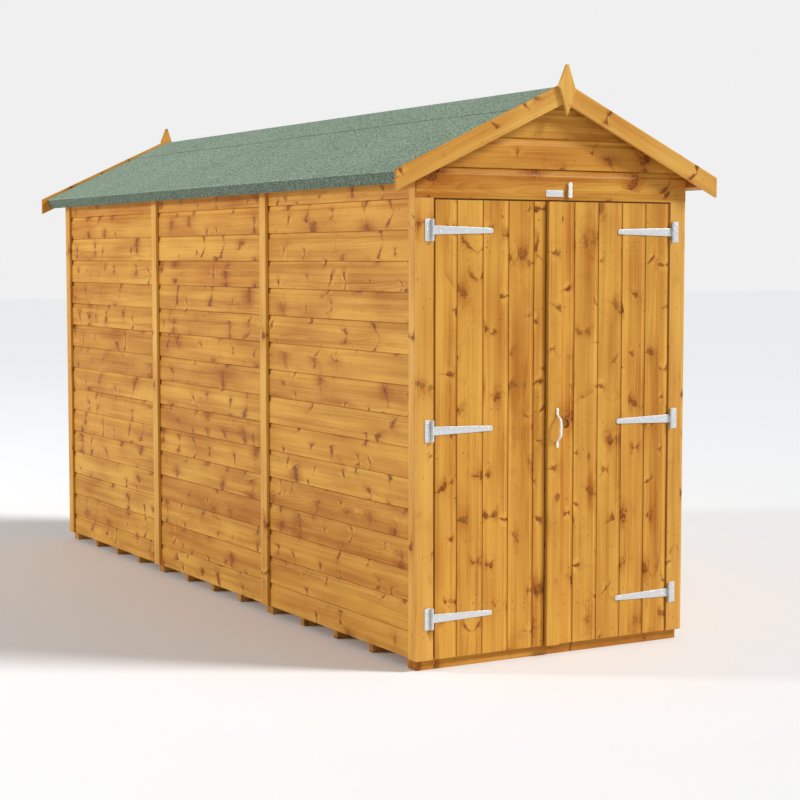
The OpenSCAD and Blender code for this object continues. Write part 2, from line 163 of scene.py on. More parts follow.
def buildSoftwood():
    w, given, result = newGroup(
        "softwoodGrain",
        [
            ("Grain", "vector", None),
            ("Tone", "value", 0.5),
            ("End Grain", "value", 0.0),
            ("Light Wood", "colour", (0.75, 0.42, 0.11, 1.0)),
            ("Dark Wood", "colour", (0.45, 0.18, 0.03, 1.0)),
            ("Knots", "value", 0.5),
            ("Knot Size", "value", 1.0),
            ("Rings", "value", 0.5),
            ("Streaks", "value", 0.5),
        ],
        [("Colour", "colour"), ("Roughness", "value"), ("Height", "value")],
    )
    grain = given["Grain"]

    # every board draws its own numbers from its tone
    seedSocket = {"W": w.mul(given["Tone"], 913.7)}
    seed = w.node("TexWhiteNoise", seedSocket, noise_dimensions="1D")
    chance = w.draws(seed.outputs["Color"])
    shift = w.vector("MULTIPLY_ADD", seed.outputs["Color"], (41.0, 37.0, 43.0), grain)
    axes = w.axes(grain)

    # growth rings round a heart that lies somewhere behind the board
    heartAcross = w.mulAdd(chance[0], 0.15, -0.075)
    heartDepth = w.mulAdd(chance[1], -0.11, -0.010)
    fromHeart = w.node("CombineXYZ", {1: w.sub(axes[1], heartAcross), 2: w.sub(axes[2], heartDepth)})
    radius = w.vector("LENGTH", fromHeart.outputs[0])
    warp = w.cloud(shift, (1.4, 10.0, 10.0), 2.0)
    lean = w.mul(axes[0], w.mulAdd(chance[2], 0.03, -0.015))
    path = w.mulAdd(warp, 0.022, w.add(radius, lean))

    # knots: each cell of a stretched pattern may hold one, slanted across the board
    cellSize = (4.8, 9.5, 1.6)
    cellPlace = w.vector("MULTIPLY", shift, cellSize)
    cells = w.node("TexVoronoi", {"Vector": cellPlace, "Scale": 1.0, "Randomness": 0.82}).outputs
    cellChance = w.draws(cells["Color"])
    offset = w.vector("SUBTRACT", cellPlace, cells["Position"])
    offset = w.vector("DIVIDE", offset, cellSize)
    offsetAxes = w.axes(offset)
    sizeDraw = w.calc("POWER", cellChance[1], 1.8)
    knotRadius = w.mulAdd(sizeDraw, 8.0 * mm, 4.6 * mm)
    knotRadius = w.mul(knotRadius, given["Knot Size"])
    slant = w.calc("FRACT", w.mul(cellChance[0], 17.0))
    stretch = w.mulAdd(w.calc("POWER", cellChance[2], 2.0), 2.6, 0.9)
    # half of them are pairs that lean away from each other
    paired = w.calc("GREATER_THAN", w.calc("FRACT", w.mul(cellChance[1], 23.0)), 0.5)
    spacing = w.mul(knotRadius, w.mulAdd(slant, 1.3, 0.9))
    spacing = w.mul(spacing, stretch)
    folded = w.sub(w.calc("ABSOLUTE", offsetAxes[1]), spacing)
    single = w.mul(offsetAxes[1], w.sub(1.0, paired))
    across = w.mulAdd(folded, paired, single)
    slant = w.mulAdd(slant, 1.3, w.mulAdd(paired, 0.5, -0.65))
    warpNode = w.node("TexNoise", {"Vector": shift, "Scale": 52.0, "Detail": 1.0})
    bent = w.vector("SUBTRACT", warpNode.outputs["Color"], (0.5, 0.5, 0.5))
    bentAxes = w.axes(bent)
    bendSize = w.mul(knotRadius, 3.4)
    knotAlong = w.mulAdd(across, slant, offsetAxes[0])
    knotAlong = w.mulAdd(bentAxes[0], bendSize, knotAlong)
    knotAcross = w.mulAdd(bentAxes[1], bendSize, across)
    knotAcross = w.div(knotAcross, stretch)
    taper = w.mulAdd(w.div(knotAcross, knotRadius), 0.6, 1.0)
    knotAlong = w.div(knotAlong, w.calc("MAXIMUM", taper, 0.4))
    knotPlace = w.node("CombineXYZ", {0: knotAlong, 1: knotAcross})
    ragged = w.cloud(shift, (95.0, 95.0, 95.0), 1.0)
    reach = w.div(w.vector("LENGTH", knotPlace.outputs[0]), knotRadius)
    reach = w.mul(reach, w.mulAdd(ragged, 1.3, 0.35))
    empty = w.calc("GREATER_THAN", cellChance[0], given["Knots"])
    reach = w.mulAdd(empty, 60.0, reach)
    core = w.fade(reach, 1.05, 0.7)
    rimIn = w.fade(reach, 0.5, 0.95)
    rim = w.mul(rimIn, w.fade(reach, 1.4, 0.95))
    oneSide = w.mulAdd(w.div(knotAlong, knotRadius), 0.35, 0.68, clamp=True)
    rim = w.mul(rim, oneSide)
    squared = w.mul(reach, reach)
    halo = w.calc("EXPONENT", w.mul(squared, -0.26))
    swell = w.calc("EXPONENT", w.mul(squared, -0.3))
    path = w.mulAdd(w.mul(swell, knotRadius), 0.9, path)
    smearAlong = w.div(offsetAxes[0], w.mul(knotRadius, 6.0))
    smearAcross = w.div(knotAcross, w.mul(knotRadius, 1.5))
    smearPlace = w.node("CombineXYZ", {0: smearAlong, 1: smearAcross})
    smear = w.vector("LENGTH", smearPlace.outputs[0])
    smear = w.mulAdd(empty, 60.0, smear)
    smear = w.fade(smear, 1.3, 0.0)

    # pin knots
    pinSize = (15.0, 34.0, 5.0)
    pinPlace = w.vector("MULTIPLY", shift, pinSize)
    pins = w.node("TexVoronoi", {"Vector": pinPlace, "Scale": 1.0}).outputs
    pinOffset = w.vector("SUBTRACT", pinPlace, pins["Position"])
    pinOffset = w.vector("DIVIDE", pinOffset, pinSize)
    pinReach = w.vector("LENGTH", w.vector("MULTIPLY", pinOffset, (1.0, 0.6, 0.0)))
    pinChance = w.draws(pins["Color"])
    pinEmpty = w.calc("GREATER_THAN", pinChance[0], 0.05)
    pinReach = w.mulAdd(pinEmpty, 1.0, pinReach)
    pin = w.fade(pinReach, 3.4 * mm, 1.2 * mm)

    # late wood is the dark end of each ring
    ringWidth = w.mulAdd(chance[2], 2.6 * mm, 2.2 * mm)
    phase = w.calc("FRACT", w.div(path, ringWidth))
    late = w.mul(w.fade(phase, 0.3, 0.9), w.fade(phase, 1.0, 0.93))
    late = w.mul(late, w.fade(w.cloud(shift, (1.5, 14.0, 14.0)), 0.3, 0.7, 0.4, 1.0))

    broad = w.cloud(shift, (0.7, 26.0, 26.0), 3.0, 0.6)
    narrow = w.cloud(shift, (2.4, 190.0, 190.0), 2.0, 0.55)
    blotch = w.cloud(shift, (2.6, 8.0, 8.0), 1.0)
    fibre = w.cloud(shift, (26.0, 900.0, 900.0), 1.0)
    dark = w.mul(w.sub(broad, 0.5), 4.2)
    dark = w.mulAdd(w.sub(narrow, 0.5), 1.7, dark)
    dark = w.mul(dark, given["Streaks"])
    dark = w.mulAdd(w.sub(blotch, 0.5), 1.3, dark)
    dark = w.mulAdd(w.mul(late, given["Rings"]), 0.55, dark)
    flame = w.mulAdd(w.sub(cellChance[1], 0.55), 1.3, 0.0)
    dark = w.mulAdd(smear, flame, dark)
    dark = w.add(dark, w.mulAdd(chance[1], 0.34, 0.16), clamp=True)
    colour = w.blend(dark, given["Light Wood"], given["Dark Wood"])
    tint = w.blend(chance[0], (1.03, 1.06, 1.08, 1.0), (0.98, 0.91, 0.82, 1.0))
    colour = w.blend(1.0, colour, tint, "MULTIPLY")

    knotFine = w.calc("SINE", w.mul(reach, 11.0))
    knotHeart = w.blend(w.mulAdd(knotFine, 0.25, 0.45),
                            (0.36, 0.092, 0.006, 1.0), (0.14, 0.027, 0.003, 1.0))
    coreStrength = w.mul(core, w.mulAdd(cellChance[2], 0.5, 0.5))
    colour = w.blend(w.mul(halo, 0.84), colour, (0.370, 0.098, 0.005, 1.0))
    colour = w.blend(coreStrength, colour, knotHeart)
    colour = w.blend(w.mul(rim, 0.85), colour, (0.105, 0.020, 0.003, 1.0))
    colour = w.blend(w.mul(pin, 0.8), colour, (0.16, 0.038, 0.006, 1.0))
    endShade = w.blend(given["End Grain"], (1.0, 1.0, 1.0, 1.0), (0.78, 0.68, 0.58, 1.0))
    colour = w.blend(1.0, colour, endShade, "MULTIPLY")
    w.link(colour, result["Colour"])

    rough = w.mulAdd(w.sub(narrow, 0.5), 0.22, 0.53)
    rough = w.mulAdd(core, -0.12, rough)
    rough = w.mulAdd(given["End Grain"], 0.15, rough)
    w.link(rough, result["Roughness"])
    height = w.mul(late, 0.10)
    height = w.mulAdd(fibre, 0.09, height)
    height = w.mulAdd(core, 0.20, height)
    height = w.mulAdd(narrow, 0.20, height)
    w.link(height, result["Height"])
    return w.tree


def buildEdgeWearAndHighlight():
    w, given, result = newGroup(
        "edgeWearAndHighlight",
        [
            ("Colour", "colour", None),
            ("Roughness", "value", 0.5),
            ("Edge", "value", 0.0),
            ("Place", "vector", None),
            ("Worn And Highlight Colour", "colour", (0.8, 0.6, 0.3, 1.0)),
            ("Worn Roughness", "value", 0.7),
            ("Amount", "value", 0.5),
        ],
        [("Colour", "colour"), ("Roughness", "value")],
    )
    # marked faces go towards the worn colour: real wear on rounded edges, and a painted highlight on
    # the shiplap scoops
    patchy = w.fade(w.cloud(given["Place"], (30.0, 30.0, 30.0), 3.0), 0.38, 0.62, 0.25, 1.0)
    wornAndHighlight = w.mul(w.mul(given["Edge"], given["Amount"]), patchy)
    colour = w.blend(wornAndHighlight, given["Colour"], given["Worn And Highlight Colour"])
    gap = w.sub(given["Worn Roughness"], given["Roughness"])
    w.link(colour, result["Colour"])
    w.link(w.mulAdd(wornAndHighlight, gap, given["Roughness"]), result["Roughness"])
    return w.tree


def buildDust():
    w, given, result = newGroup(
        "settledDust",
        [
            ("Colour", "colour", None),
            ("Roughness", "value", 0.5),
            ("Place", "vector", None),
            ("Up", "value", 0.0),
            ("Dust Colour", "colour", (0.55, 0.48, 0.38, 1.0)),
            ("Amount", "value", 0.3),
        ],
        [("Colour", "colour"), ("Roughness", "value")],
    )
    patchy = w.fade(w.cloud(given["Place"], (5.0, 5.0, 5.0), 5.0, 0.6), 0.42, 0.72)
    lying = w.mul(w.fade(given["Up"], 0.2, 0.9), given["Amount"])
    dust = w.mul(lying, patchy)
    gap = w.sub(0.92, given["Roughness"])
    w.link(w.blend(dust, given["Colour"], given["Dust Colour"]), result["Colour"])
    w.link(w.mulAdd(dust, gap, given["Roughness"]), result["Roughness"])
    return w.tree


def buildSawMarks():
    w, given, result = newGroup(
        "sawMarks",
        [("Grain", "vector", None), ("Pitch", "value", 4.0)],
        [("Height", "value"), ("Mask", "value")],
    )
    bend = w.cloud(given["Grain"], (3.0, 9.0, 9.0), 1.0)
    axes = w.axes(given["Grain"])
    along = w.mulAdd(bend, 0.03, axes[0])
    along = w.div(along, w.mul(given["Pitch"], mm))
    wave = w.calc("SINE", w.mul(along, 2.0 * math.pi))
    patchy = w.fade(w.cloud(given["Grain"], (9.0, 25.0, 25.0), 2.0), 0.35, 0.65)
    mask = w.mul(w.mulAdd(wave, 0.5, 0.5), patchy)
    w.link(mask, result["Mask"])
    w.link(w.mul(mask, 0.25), result["Height"])
    return w.tree


softwoodGroup = buildSoftwood()
wearAndHighlightGroup = buildEdgeWearAndHighlight()
dustGroup = buildDust()
sawGroup = buildSawMarks()


def newFinish(name, **constants):
    material = bpy.data.materials.new(name)
    material.use_nodes = True
    tree = material.node_tree
    shader = next(n for n in tree.nodes if n.type == "BSDF_PRINCIPLED")
    for label, value in constants.items():
        shader.inputs[label.replace("_", " ")].default_value = value
    return material, Weave(tree), shader


woodLooks = {
    "claddingWood": {
        "light": (0.735, 0.385, 0.062, 1.0),
        "dark": (0.400, 0.122, 0.007, 1.0),
        "knots": 0.80, "knotSize": 1.12, "rings": 0.42, "streaks": 0.40,
        # the worn colour also paints the highlight along the shiplap scoops
        "wornAndHighlight": (0.70, 0.38, 0.09, 1.0), "wearAndHighlight": 0.4, "dust": 0.0, "saw": 0.0,
    },
    "trimWood": {
        "light": (0.780, 0.440, 0.095, 1.0),
        "dark": (0.520, 0.200, 0.020, 1.0),
        "knots": 0.45, "knotSize": 0.95, "rings": 0.40, "streaks": 0.36,
        "wornAndHighlight": (0.82, 0.53, 0.17, 1.0), "wearAndHighlight": 0.5, "dust": 0.0, "saw": 0.0,
    },
    "framingWood": {
        "light": (0.70, 0.395, 0.110, 1.0),
        "dark": (0.43, 0.180, 0.034, 1.0),
        "knots": 0.50, "knotSize": 0.95, "rings": 0.65, "streaks": 0.4,
        "wornAndHighlight": (0.74, 0.50, 0.21, 1.0), "wearAndHighlight": 0.6, "dust": 0.35, "saw": 1.0,
    },
}


def woodFinish(name, look):
    material, w, shader = newFinish(name, IOR=1.45, Specular_IOR_Level=0.22)
    grain = w.attribute("grain", "Vector")
    place = w.place()
    wood = w.group(softwoodGroup, {
        "Grain": grain, "Tone": w.attribute("tone"), "End Grain": w.attribute("ends"),
        "Light Wood": look["light"], "Dark Wood": look["dark"], "Knots": look["knots"],
        "Knot Size": look["knotSize"], "Rings": look["rings"], "Streaks": look["streaks"],
    })
    # the edge mask lightens worn rounded edges and paints a highlight on the shiplap scoops
    wornAndHighlight = w.group(wearAndHighlightGroup, {
        "Colour": wood["Colour"], "Roughness": wood["Roughness"], "Place": place,
        "Edge": w.attribute("edge"), "Worn And Highlight Colour": look["wornAndHighlight"], "Amount": look["wearAndHighlight"],
    })
    height = wood["Height"]
    if look["dust"]:
        up = w.upward()
        wornAndHighlight = w.group(dustGroup, {
            "Colour": wornAndHighlight["Colour"], "Roughness": wornAndHighlight["Roughness"], "Place": place,
            "Up": up, "Amount": look["dust"],
        })
    if look["saw"]:
        saw = w.group(sawGroup, {"Grain": grain})
        height = w.mulAdd(saw["Height"], look["saw"], height)
    w.dress(shader, wornAndHighlight, height, 0.8)
    return material


claddingWood = woodFinish("claddingWood", woodLooks["claddingWood"])
trimWood = woodFinish("trimWood", woodLooks["trimWood"])
framingWood = woodFinish("framingWood", woodLooks["framingWood"])

feltLook = {
    "mid": (0.175, 0.270, 0.200, 1.0),
    "pale": (0.52, 0.63, 0.53, 1.0),
    "deep": (0.042, 0.080, 0.058, 1.0),
    "granule": 430.0,
    "clump": 115.0,
}


def feltFinish(name, look):
    material, w, shader = newFinish(name, IOR=1.5, Specular_IOR_Level=0.25)
    place = w.place()
    granules = w.node("TexVoronoi", {"Vector": place, "Scale": look["granule"]}).outputs
    draw = w.draws(granules["Color"])
    clump = w.cloud(place, (1.0, 1.0, 1.0), 2.0, 0.7, look["clump"])
    wide = w.cloud(place, (2.0, 2.0, 2.0), 3.0)
    pale = w.mulAdd(clump, 3.0, w.mulAdd(draw[0], 0.9, -1.75))
    pale = w.mulAdd(wide, 0.25, pale, clamp=True)
    deep = w.mulAdd(clump, -3.0, w.mulAdd(draw[1], 0.9, 1.1), clamp=True)
    colour = w.blend(pale, look["mid"], look["pale"])
    colour = w.blend(deep, colour, look["deep"])
    up = w.upward()
    shade = w.fade(up, 0.1, -0.3, 1.0, 0.42)  # painted shade: faces turned down, such as the eave band, are drawn darker
    colour = w.blend(1.0, colour, w.node("CombineColor", {
        0: shade, 1: shade, 2: w.mul(shade, 0.93)}).outputs[0], "MULTIPLY")
    rough = w.mulAdd(draw[2], 0.18, 0.78)
    dusty = w.group(dustGroup, {
        "Colour": colour, "Roughness": rough, "Place": place, "Up": up,
        "Dust Colour": (0.40, 0.46, 0.40, 1.0), "Amount": 0.25,
    })
    height = w.mulAdd(granules["Distance"], -0.7, w.mul(clump, 0.8))
    w.dress(shader, dusty, height, 0.9)
    return material


def buildSpangle():
    w, given, result = newGroup(
        "zincSpangle",
        [
            ("Place", "vector", None), ("Colour", "colour", None),
            ("Roughness", "value", 0.4), ("Scale", "value", 90.0),
        ],
        [("Colour", "colour"), ("Roughness", "value"), ("Height", "value")],
    )
    sockets = {"Vector": given["Place"], "Scale": given["Scale"]}
    crystals = w.node("TexVoronoi", sockets).outputs
    draw = w.draws(crystals["Color"])
    fine = w.cloud(given["Place"], (400.0, 400.0, 400.0), 2.0)
    shade = w.mulAdd(draw[0], 0.07, 0.93)
    shade = w.mulAdd(fine, 0.06, w.sub(shade, 0.03))
    grey = w.node("CombineColor", {0: shade, 1: shade, 2: shade}).outputs[0]
    w.link(w.blend(1.0, given["Colour"], grey, "MULTIPLY"), result["Colour"])
    rough = w.mulAdd(draw[1], 0.14, given["Roughness"])
    w.link(w.mulAdd(fine, 0.08, rough), result["Roughness"])
    w.link(w.mulAdd(draw[0], 0.04, w.mul(fine, 0.05)), result["Height"])
    return w.tree


spangleGroup = buildSpangle()


def metalFinish(name, colour, rough, wornAndHighlight, wearAndHighlight, scale, metallic):
    material, w, shader = newFinish(name, Metallic=metallic)
    place = w.place()
    zinc = w.group(spangleGroup, {"Place": place, "Colour": colour, "Roughness": rough, "Scale": scale})
    edged = w.group(wearAndHighlightGroup, {
        "Colour": zinc["Colour"], "Roughness": zinc["Roughness"], "Place": place,
        "Edge": w.attribute("edge"), "Worn And Highlight Colour": wornAndHighlight, "Worn Roughness": 0.3, "Amount": wearAndHighlight,
    })
    w.dress(shader, edged, zinc["Height"], 0.5)
    return material


def plasticFinish(name, colour):
    material, w, shader = newFinish(name, IOR=1.47, Coat_Weight=0.25, Coat_Roughness=0.18)
    place = w.place()
    flow = w.cloud(place, (25.0, 25.0, 25.0), 3.0)
    peel = w.cloud(place, (1.0, 1.0, 1.0), 2.0, 0.5, 900.0)
    shade = w.blend(flow, colour, (colour[0] * 0.95, colour[1] * 0.94, colour[2] * 0.88, 1.0))
    edged = w.group(wearAndHighlightGroup, {
        "Colour": shade, "Roughness": w.mulAdd(flow, 0.12, 0.26), "Place": place,
        "Edge": w.attribute("edge"), "Worn And Highlight Colour": (0.93, 0.92, 0.88, 1.0),
        "Worn Roughness": 0.42, "Amount": 0.4,
    })
    w.dress(shader, edged, w.mul(peel, 0.06), 0.4)
    return material


roofFelt = feltFinish("roofFelt", feltLook)
zincSteel = metalFinish("zincSteel", (0.74, 0.76, 0.77, 1.0), 0.32,
                        (0.95, 0.96, 0.97, 1.0), 0.8, 150.0, 0.45)
screwZinc = metalFinish("screwZinc", (0.90, 0.90, 0.885, 1.0), 0.26,
                        (0.95, 0.95, 0.95, 1.0), 0.5, 300.0, 0.75)
nailSteel = metalFinish("nailSteel", (0.105, 0.062, 0.038, 1.0), 0.5,
                        (0.22, 0.18, 0.15, 1.0), 0.5, 400.0, 0.35)
plateMetal = metalFinish("plateMetal", (0.80, 0.82, 0.81, 1.0), 0.3,
                         (0.93, 0.93, 0.93, 1.0), 0.6, 240.0, 0.5)
creamPlastic = plasticFinish("creamPlastic", (0.90, 0.885, 0.83, 1.0))
print("finishes made")

drawTone = random.Random(41)


def newTimber():
    bm = bmesh.new()
    bm.verts.layers.float_vector.new("grain")
    bm.verts.layers.float.new("tone")
    bm.faces.layers.float.new("edge")
    bm.faces.layers.float.new("ends")
    return bm


def frameOf(along, across, depth, origin):
    place = Matrix((along, across, depth)).transposed().to_4x4()
    place.translation = origin
    return place


def sharpEdges(bm, limit):
    return [e for e in bm.edges if e.is_manifold and e.calc_face_angle(0.0) > limit]


def soften(bm, edges, width, segments, clamp=False):
    # rounds the edges and marks the new faces as worn
    made = bmesh.ops.bevel(bm, geom=edges, offset=width, affect="EDGES", segments=segments,
                           profile=0.5, material=-1, clamp_overlap=clamp)
    edge = bm.faces.layers.float["edge"]
    for face in made["faces"]:
        face[edge] = 1.0


def easeEdges(bm, width, minAngle=20.0, segments=2):
    soften(bm, sharpEdges(bm, math.radians(minAngle)), width, segments, True)


def pushFace(bm, face, travel):
    pushed = bmesh.ops.extrude_face_region(bm, geom=[face])["geom"]
    moved = [g for g in pushed if isinstance(g, bmesh.types.BMVert)]
    bmesh.ops.translate(bm, vec=travel, verts=moved)
    bmesh.ops.recalc_face_normals(bm, faces=bm.faces[:])


def markGrain(bm, place, tone):
    grain = bm.verts.layers.float_vector["grain"]
    toneLayer = bm.verts.layers.float["tone"]
    ends = bm.faces.layers.float["ends"]
    along = place.col[0].to_3d()
    back = place.inverted()
    for vert in bm.verts:
        vert[grain] = back @ vert.co
        vert[toneLayer] = tone
    bm.normal_update()
    for face in bm.faces:
        if abs(face.normal.dot(along)) > 0.8:
            face[ends] = 1.0


def joinInto(target, part):
    spare = bpy.data.meshes.new("spare")
    part.to_mesh(spare)
    part.free()
    target.from_mesh(spare)
    bpy.data.meshes.remove(spare)


def makePiece(name, bm, finish, body, nodes=(), smoothAngle=18.0):
    bmesh.ops.recalc_face_normals(bm, faces=bm.faces[:])
    limit = math.radians(smoothAngle)
    for face in bm.faces:
        face.smooth = True
    for edge in bm.edges:
        edge.smooth = edge.is_manifold and edge.calc_face_angle(0.0) < limit
    mesh = bpy.data.meshes.new(name)
    bm.to_mesh(mesh)
    bm.free()
    mesh.materials.append(finish)
    piece = bpy.data.objects.new(name, mesh)
    scene.collection.objects.link(piece)
    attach(piece, body)
    if nodes:
        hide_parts(*nodes)
    return piece


def trim(bm, point, normal):
    everything = bm.verts[:] + bm.edges[:] + bm.faces[:]
    cut = bmesh.ops.bisect_plane(bm, geom=everything, plane_co=point, plane_no=normal,
                                 clear_outer=True, dist=1e-7)
    rim = [g for g in cut["geom_cut"] if isinstance(g, bmesh.types.BMEdge)]
    if rim:
        bmesh.ops.edgeloop_fill(bm, edges=rim)


def islandsOf(bm):
    bm.verts.index_update()
    bm.verts.ensure_lookup_table()
    seen = [False] * len(bm.verts)
    groups = []
    for first in bm.verts:
        if seen[first.index]:
            continue
        seen[first.index] = True
        group = [first.index]
        for index in group:
            for edge in bm.verts[index].link_edges:
                other = edge.other_vert(bm.verts[index]).index
                if not seen[other]:
                    seen[other] = True
                    group.append(other)
        groups.append(set(group))
    return groups


def dressTimber(name, node, body, finish, ease, along=None):
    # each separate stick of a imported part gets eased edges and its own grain
    target = newTimber()
    whole = newTimber()
    whole.from_mesh(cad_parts[node].data)
    bmesh.ops.remove_doubles(whole, verts=whole.verts[:], dist=0.01 * mm)
    bmesh.ops.dissolve_limit(whole, angle_limit=math.radians(1.0), verts=whole.verts[:],
                             edges=whole.edges[:])
    for group in islandsOf(whole):
        stick = whole.copy()
        stick.verts.ensure_lookup_table()
        rest = [v for v in stick.verts if v.index not in group]
        bmesh.ops.delete(stick, geom=rest, context="VERTS")
        longest = max(stick.edges, key=lambda e: round(e.calc_length(), 5))
        first, second = longest.verts
        axis = Vector(along) if along else (second.co - first.co).normalized()
        stick.normal_update()
        sides = [f for f in stick.faces if abs(f.normal.dot(axis)) < 0.3]
        broadest = max(sides, key=lambda f: round(f.calc_area(), 8))
        depth = (broadest.normal - axis * broadest.normal.dot(axis)).normalized()
        middle = sum((v.co for v in stick.verts), Vector()) / len(stick.verts)
        place = frameOf(axis, depth.cross(axis), depth, middle)
        easeEdges(stick, ease)
        markGrain(stick, place, drawTone.random())
        joinInto(target, stick)
    whole.free()
    return makePiece(name, target, finish, body, [node])


roofSet = {
    "pitch": math.radians(25.0),
    "top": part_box("right_felt")[1].z,
    "underBoards": 14.5 * mm,  # felt and roof boards, square to the slope
    "length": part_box("right_felt")[1].y,
}


def roofPoint(side, down, depth, y):
    # down the slope from the ridge, then square into the roof from the felt's surface
    c, s = math.cos(roofSet["pitch"]), math.sin(roofSet["pitch"])
    return Vector((side * (down * c - depth * s), y, roofSet["top"] - down * s - depth * c))


def trimUnderRoof(bm, side):
    c, s = math.cos(roofSet["pitch"]), math.sin(roofSet["pitch"])
    trim(bm, roofPoint(side, 0.0, roofSet["underBoards"], 0.0), Vector((side * s, 0.0, c)))


shiplapSet = {
    "cover": 113.8 * mm,
    "thick": 12.0 * mm,
    "scoop": 27.0 * mm,
    "doorScoop": 18.0 * mm,
    "scoopDepth": 5.0 * mm,
    "doorScoopDepth": 2.8 * mm,
    "slot": 3.8 * mm,  # open line under the lip of the next board
    "slotDepth": 4.8 * mm,
    "doorSlot": 0.7 * mm,
    "doorSlotDepth": 1.5 * mm,
    "power": 3.2,
    "lap": 7.0 * mm,
    "course": 1733.0 * mm,  # height of the joint that the other courses are counted from
    "steps": 7,
}


def shiplapOutline(cover, scoop, scoopDepth, slot, slotDepth, solidFoot=False):
    # across the board from its lip, and out from its back
    s = shiplapSet
    low = s["thick"] - scoopDepth
    tongue = low - slotDepth
    outline = [(0.0, s["thick"] - 1.0 * mm), (0.3 * mm, s["thick"] - 0.3 * mm), (1.0 * mm, s["thick"])]
    for step in range(s["steps"] + 1):
        t = step / s["steps"]
        drop = scoopDepth * (1.0 - (1.0 - t) ** s["power"])
        outline.append((cover - slot - (scoop - slot) * (1.0 - t), s["thick"] - drop))
    outline += [(cover - slot, tongue), (cover + s["lap"], tongue), (cover + s["lap"], 0.0)]
    if solidFoot:
        return outline + [(0.0, 0.0)]
    back = tongue + 0.6 * mm
    return outline + [(s["lap"] + 1.0 * mm, 0.0), (s["lap"] + 1.0 * mm, back), (0.0, back)]


def extrudeBoard(outline, length):
    bm = newTimber()
    face = bm.faces.new([bm.verts.new((0.0, across, out)) for across, out in outline])
    pushFace(bm, face, (length, 0.0, 0.0))
    bm.normal_update()
    edge = bm.faces.layers.float["edge"]
    for side in bm.faces:
        # painted highlight: scoop faces just below the board face that tilt up and towards the light
        # get the edge mark, so the worn colour draws them lighter
        high = side.calc_center_median().z > shiplapSet["thick"] - 2.6 * mm
        if high and side.normal.y > 0.12 and side.normal.z > 0.3:
            side[edge] = 1.0
    return bm


def layWall(name, node, outward, roofSides, nailRows):
    # courses of shiplap inside the box of one wall panel
    low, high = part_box(node)
    outward = Vector(outward)
    up = Vector((0.0, 0.0, 1.0))
    along = up.cross(outward)
    start = Vector((low.x if along.x > 0 else high.x, low.y if along.y > 0 else high.y, 0.0))
    if abs(along.x) > 0.5:
        length = high.x - low.x
        start.y = high.y if outward.y < 0 else low.y
    else:
        length = high.y - low.y
        start.x = high.x if outward.x < 0 else low.x
    target = newTimber()
    cover = shiplapSet["cover"]
    count = math.ceil((shiplapSet["course"] - low.z) / cover - 1e-4)
    foot = shiplapSet["course"] - count * cover
    course = 0
    while foot < high.z:
        solidFoot = course == 0
        outline = shiplapOutline(cover, shiplapSet["scoop"], shiplapSet["scoopDepth"],
                                 shiplapSet["slot"], shiplapSet["slotDepth"], solidFoot)
        board = extrudeBoard(outline, length)
        sag = Vector((0.0, 0.0, drawTone.uniform(-0.4, 0.4) * mm))
        if solidFoot:
            sag.z = 0.0
        place = frameOf(along, up, outward, start + Vector((0.0, 0.0, foot)) + sag)
        board.transform(place)
        trim(board, Vector((0.0, 0.0, low.z)), Vector((0.0, 0.0, -1.0)))
        for side in roofSides:
            trimUnderRoof(board, side)
        if board.verts:
            middle = place @ Matrix.Translation((length / 2.0, cover / 2.0, 0.0))
            markGrain(board, middle, drawTone.random())
            joinInto(target, board)
        else:
            board.free()
        for row in nailRows:
            spot = start + along * row + Vector((0.0, 0.0, foot + drawTone.uniform(24.0, 36.0) * mm))
            spot += outward * shiplapSet["thick"] + along * drawTone.uniform(-3.0, 3.0) * mm
            if low.z + nailSet["aboveFoot"] < spot.z < wallNailTop(spot):
                addNail(shedNails, spot, outward)
        foot += cover
        course += 1
    return makePiece(name, target, claddingWood, "shed", [node])


def wallNailTop(spot):
    fall = math.tan(roofSet["pitch"]) * abs(spot.x)
    return roofSet["top"] - fall - nailSet["underRoof"]


nailSet = {
    "radius": 2.5 * mm,
    "proud": 0.25 * mm,
    "deep": 0.6 * mm,
    "aboveFoot": 12.0 * mm,
    "underRoof": 70.0 * mm,
}


def newFitting():
    bm = bmesh.new()
    bm.faces.layers.float.new("edge")
    return bm


def turnTo(direction, spot, spin=0.0):
    turn = Vector(direction).to_track_quat("Z", "Y").to_matrix().to_4x4()
    return Matrix.Translation(spot) @ turn @ Matrix.Rotation(spin, 4, "Z")


def addNail(target, spot, outward, radius=None):
    radius = radius or nailSet["radius"]
    deep = nailSet["deep"]
    lift = Matrix.Translation((0.0, 0.0, nailSet["proud"] - deep / 2.0))
    bmesh.ops.create_cone(target, cap_ends=True, segments=8, radius1=radius, radius2=radius * 0.82,
                          depth=deep, matrix=turnTo(outward, spot) @ lift)


def addScrew(target, spot, outward, radius, rise, spin=0.4):
    # domed head with a cross recess
    before = len(target.verts)
    place = turnTo(outward, spot, spin)
    bmesh.ops.create_circle(target, cap_ends=True, segments=8, radius=radius, matrix=place)
    target.verts.ensure_lookup_table()
    face = target.verts[before].link_faces[0]
    rings = [(0.97, 0.35), (0.80, 0.75), (0.48, 1.0), (0.42, 0.98), (0.36, 0.35)]
    for index, (reach, height) in enumerate(rings):
        pushed = bmesh.ops.extrude_face_region(target, geom=[face])["geom"]
        bmesh.ops.delete(target, geom=[face], context="FACES_ONLY")
        face = next(g for g in pushed if isinstance(g, bmesh.types.BMFace))
        for corner, vert in enumerate(face.verts):
            angle = 2.0 * math.pi * corner / 8.0
            narrow = 0.42 if index >= 3 and corner % 2 else 1.0
            flat = Vector((math.cos(angle), math.sin(angle), 0.0)) * radius * reach * narrow
            vert.co = place @ (flat + Vector((0.0, 0.0, rise * height)))


shedNails = newFitting()

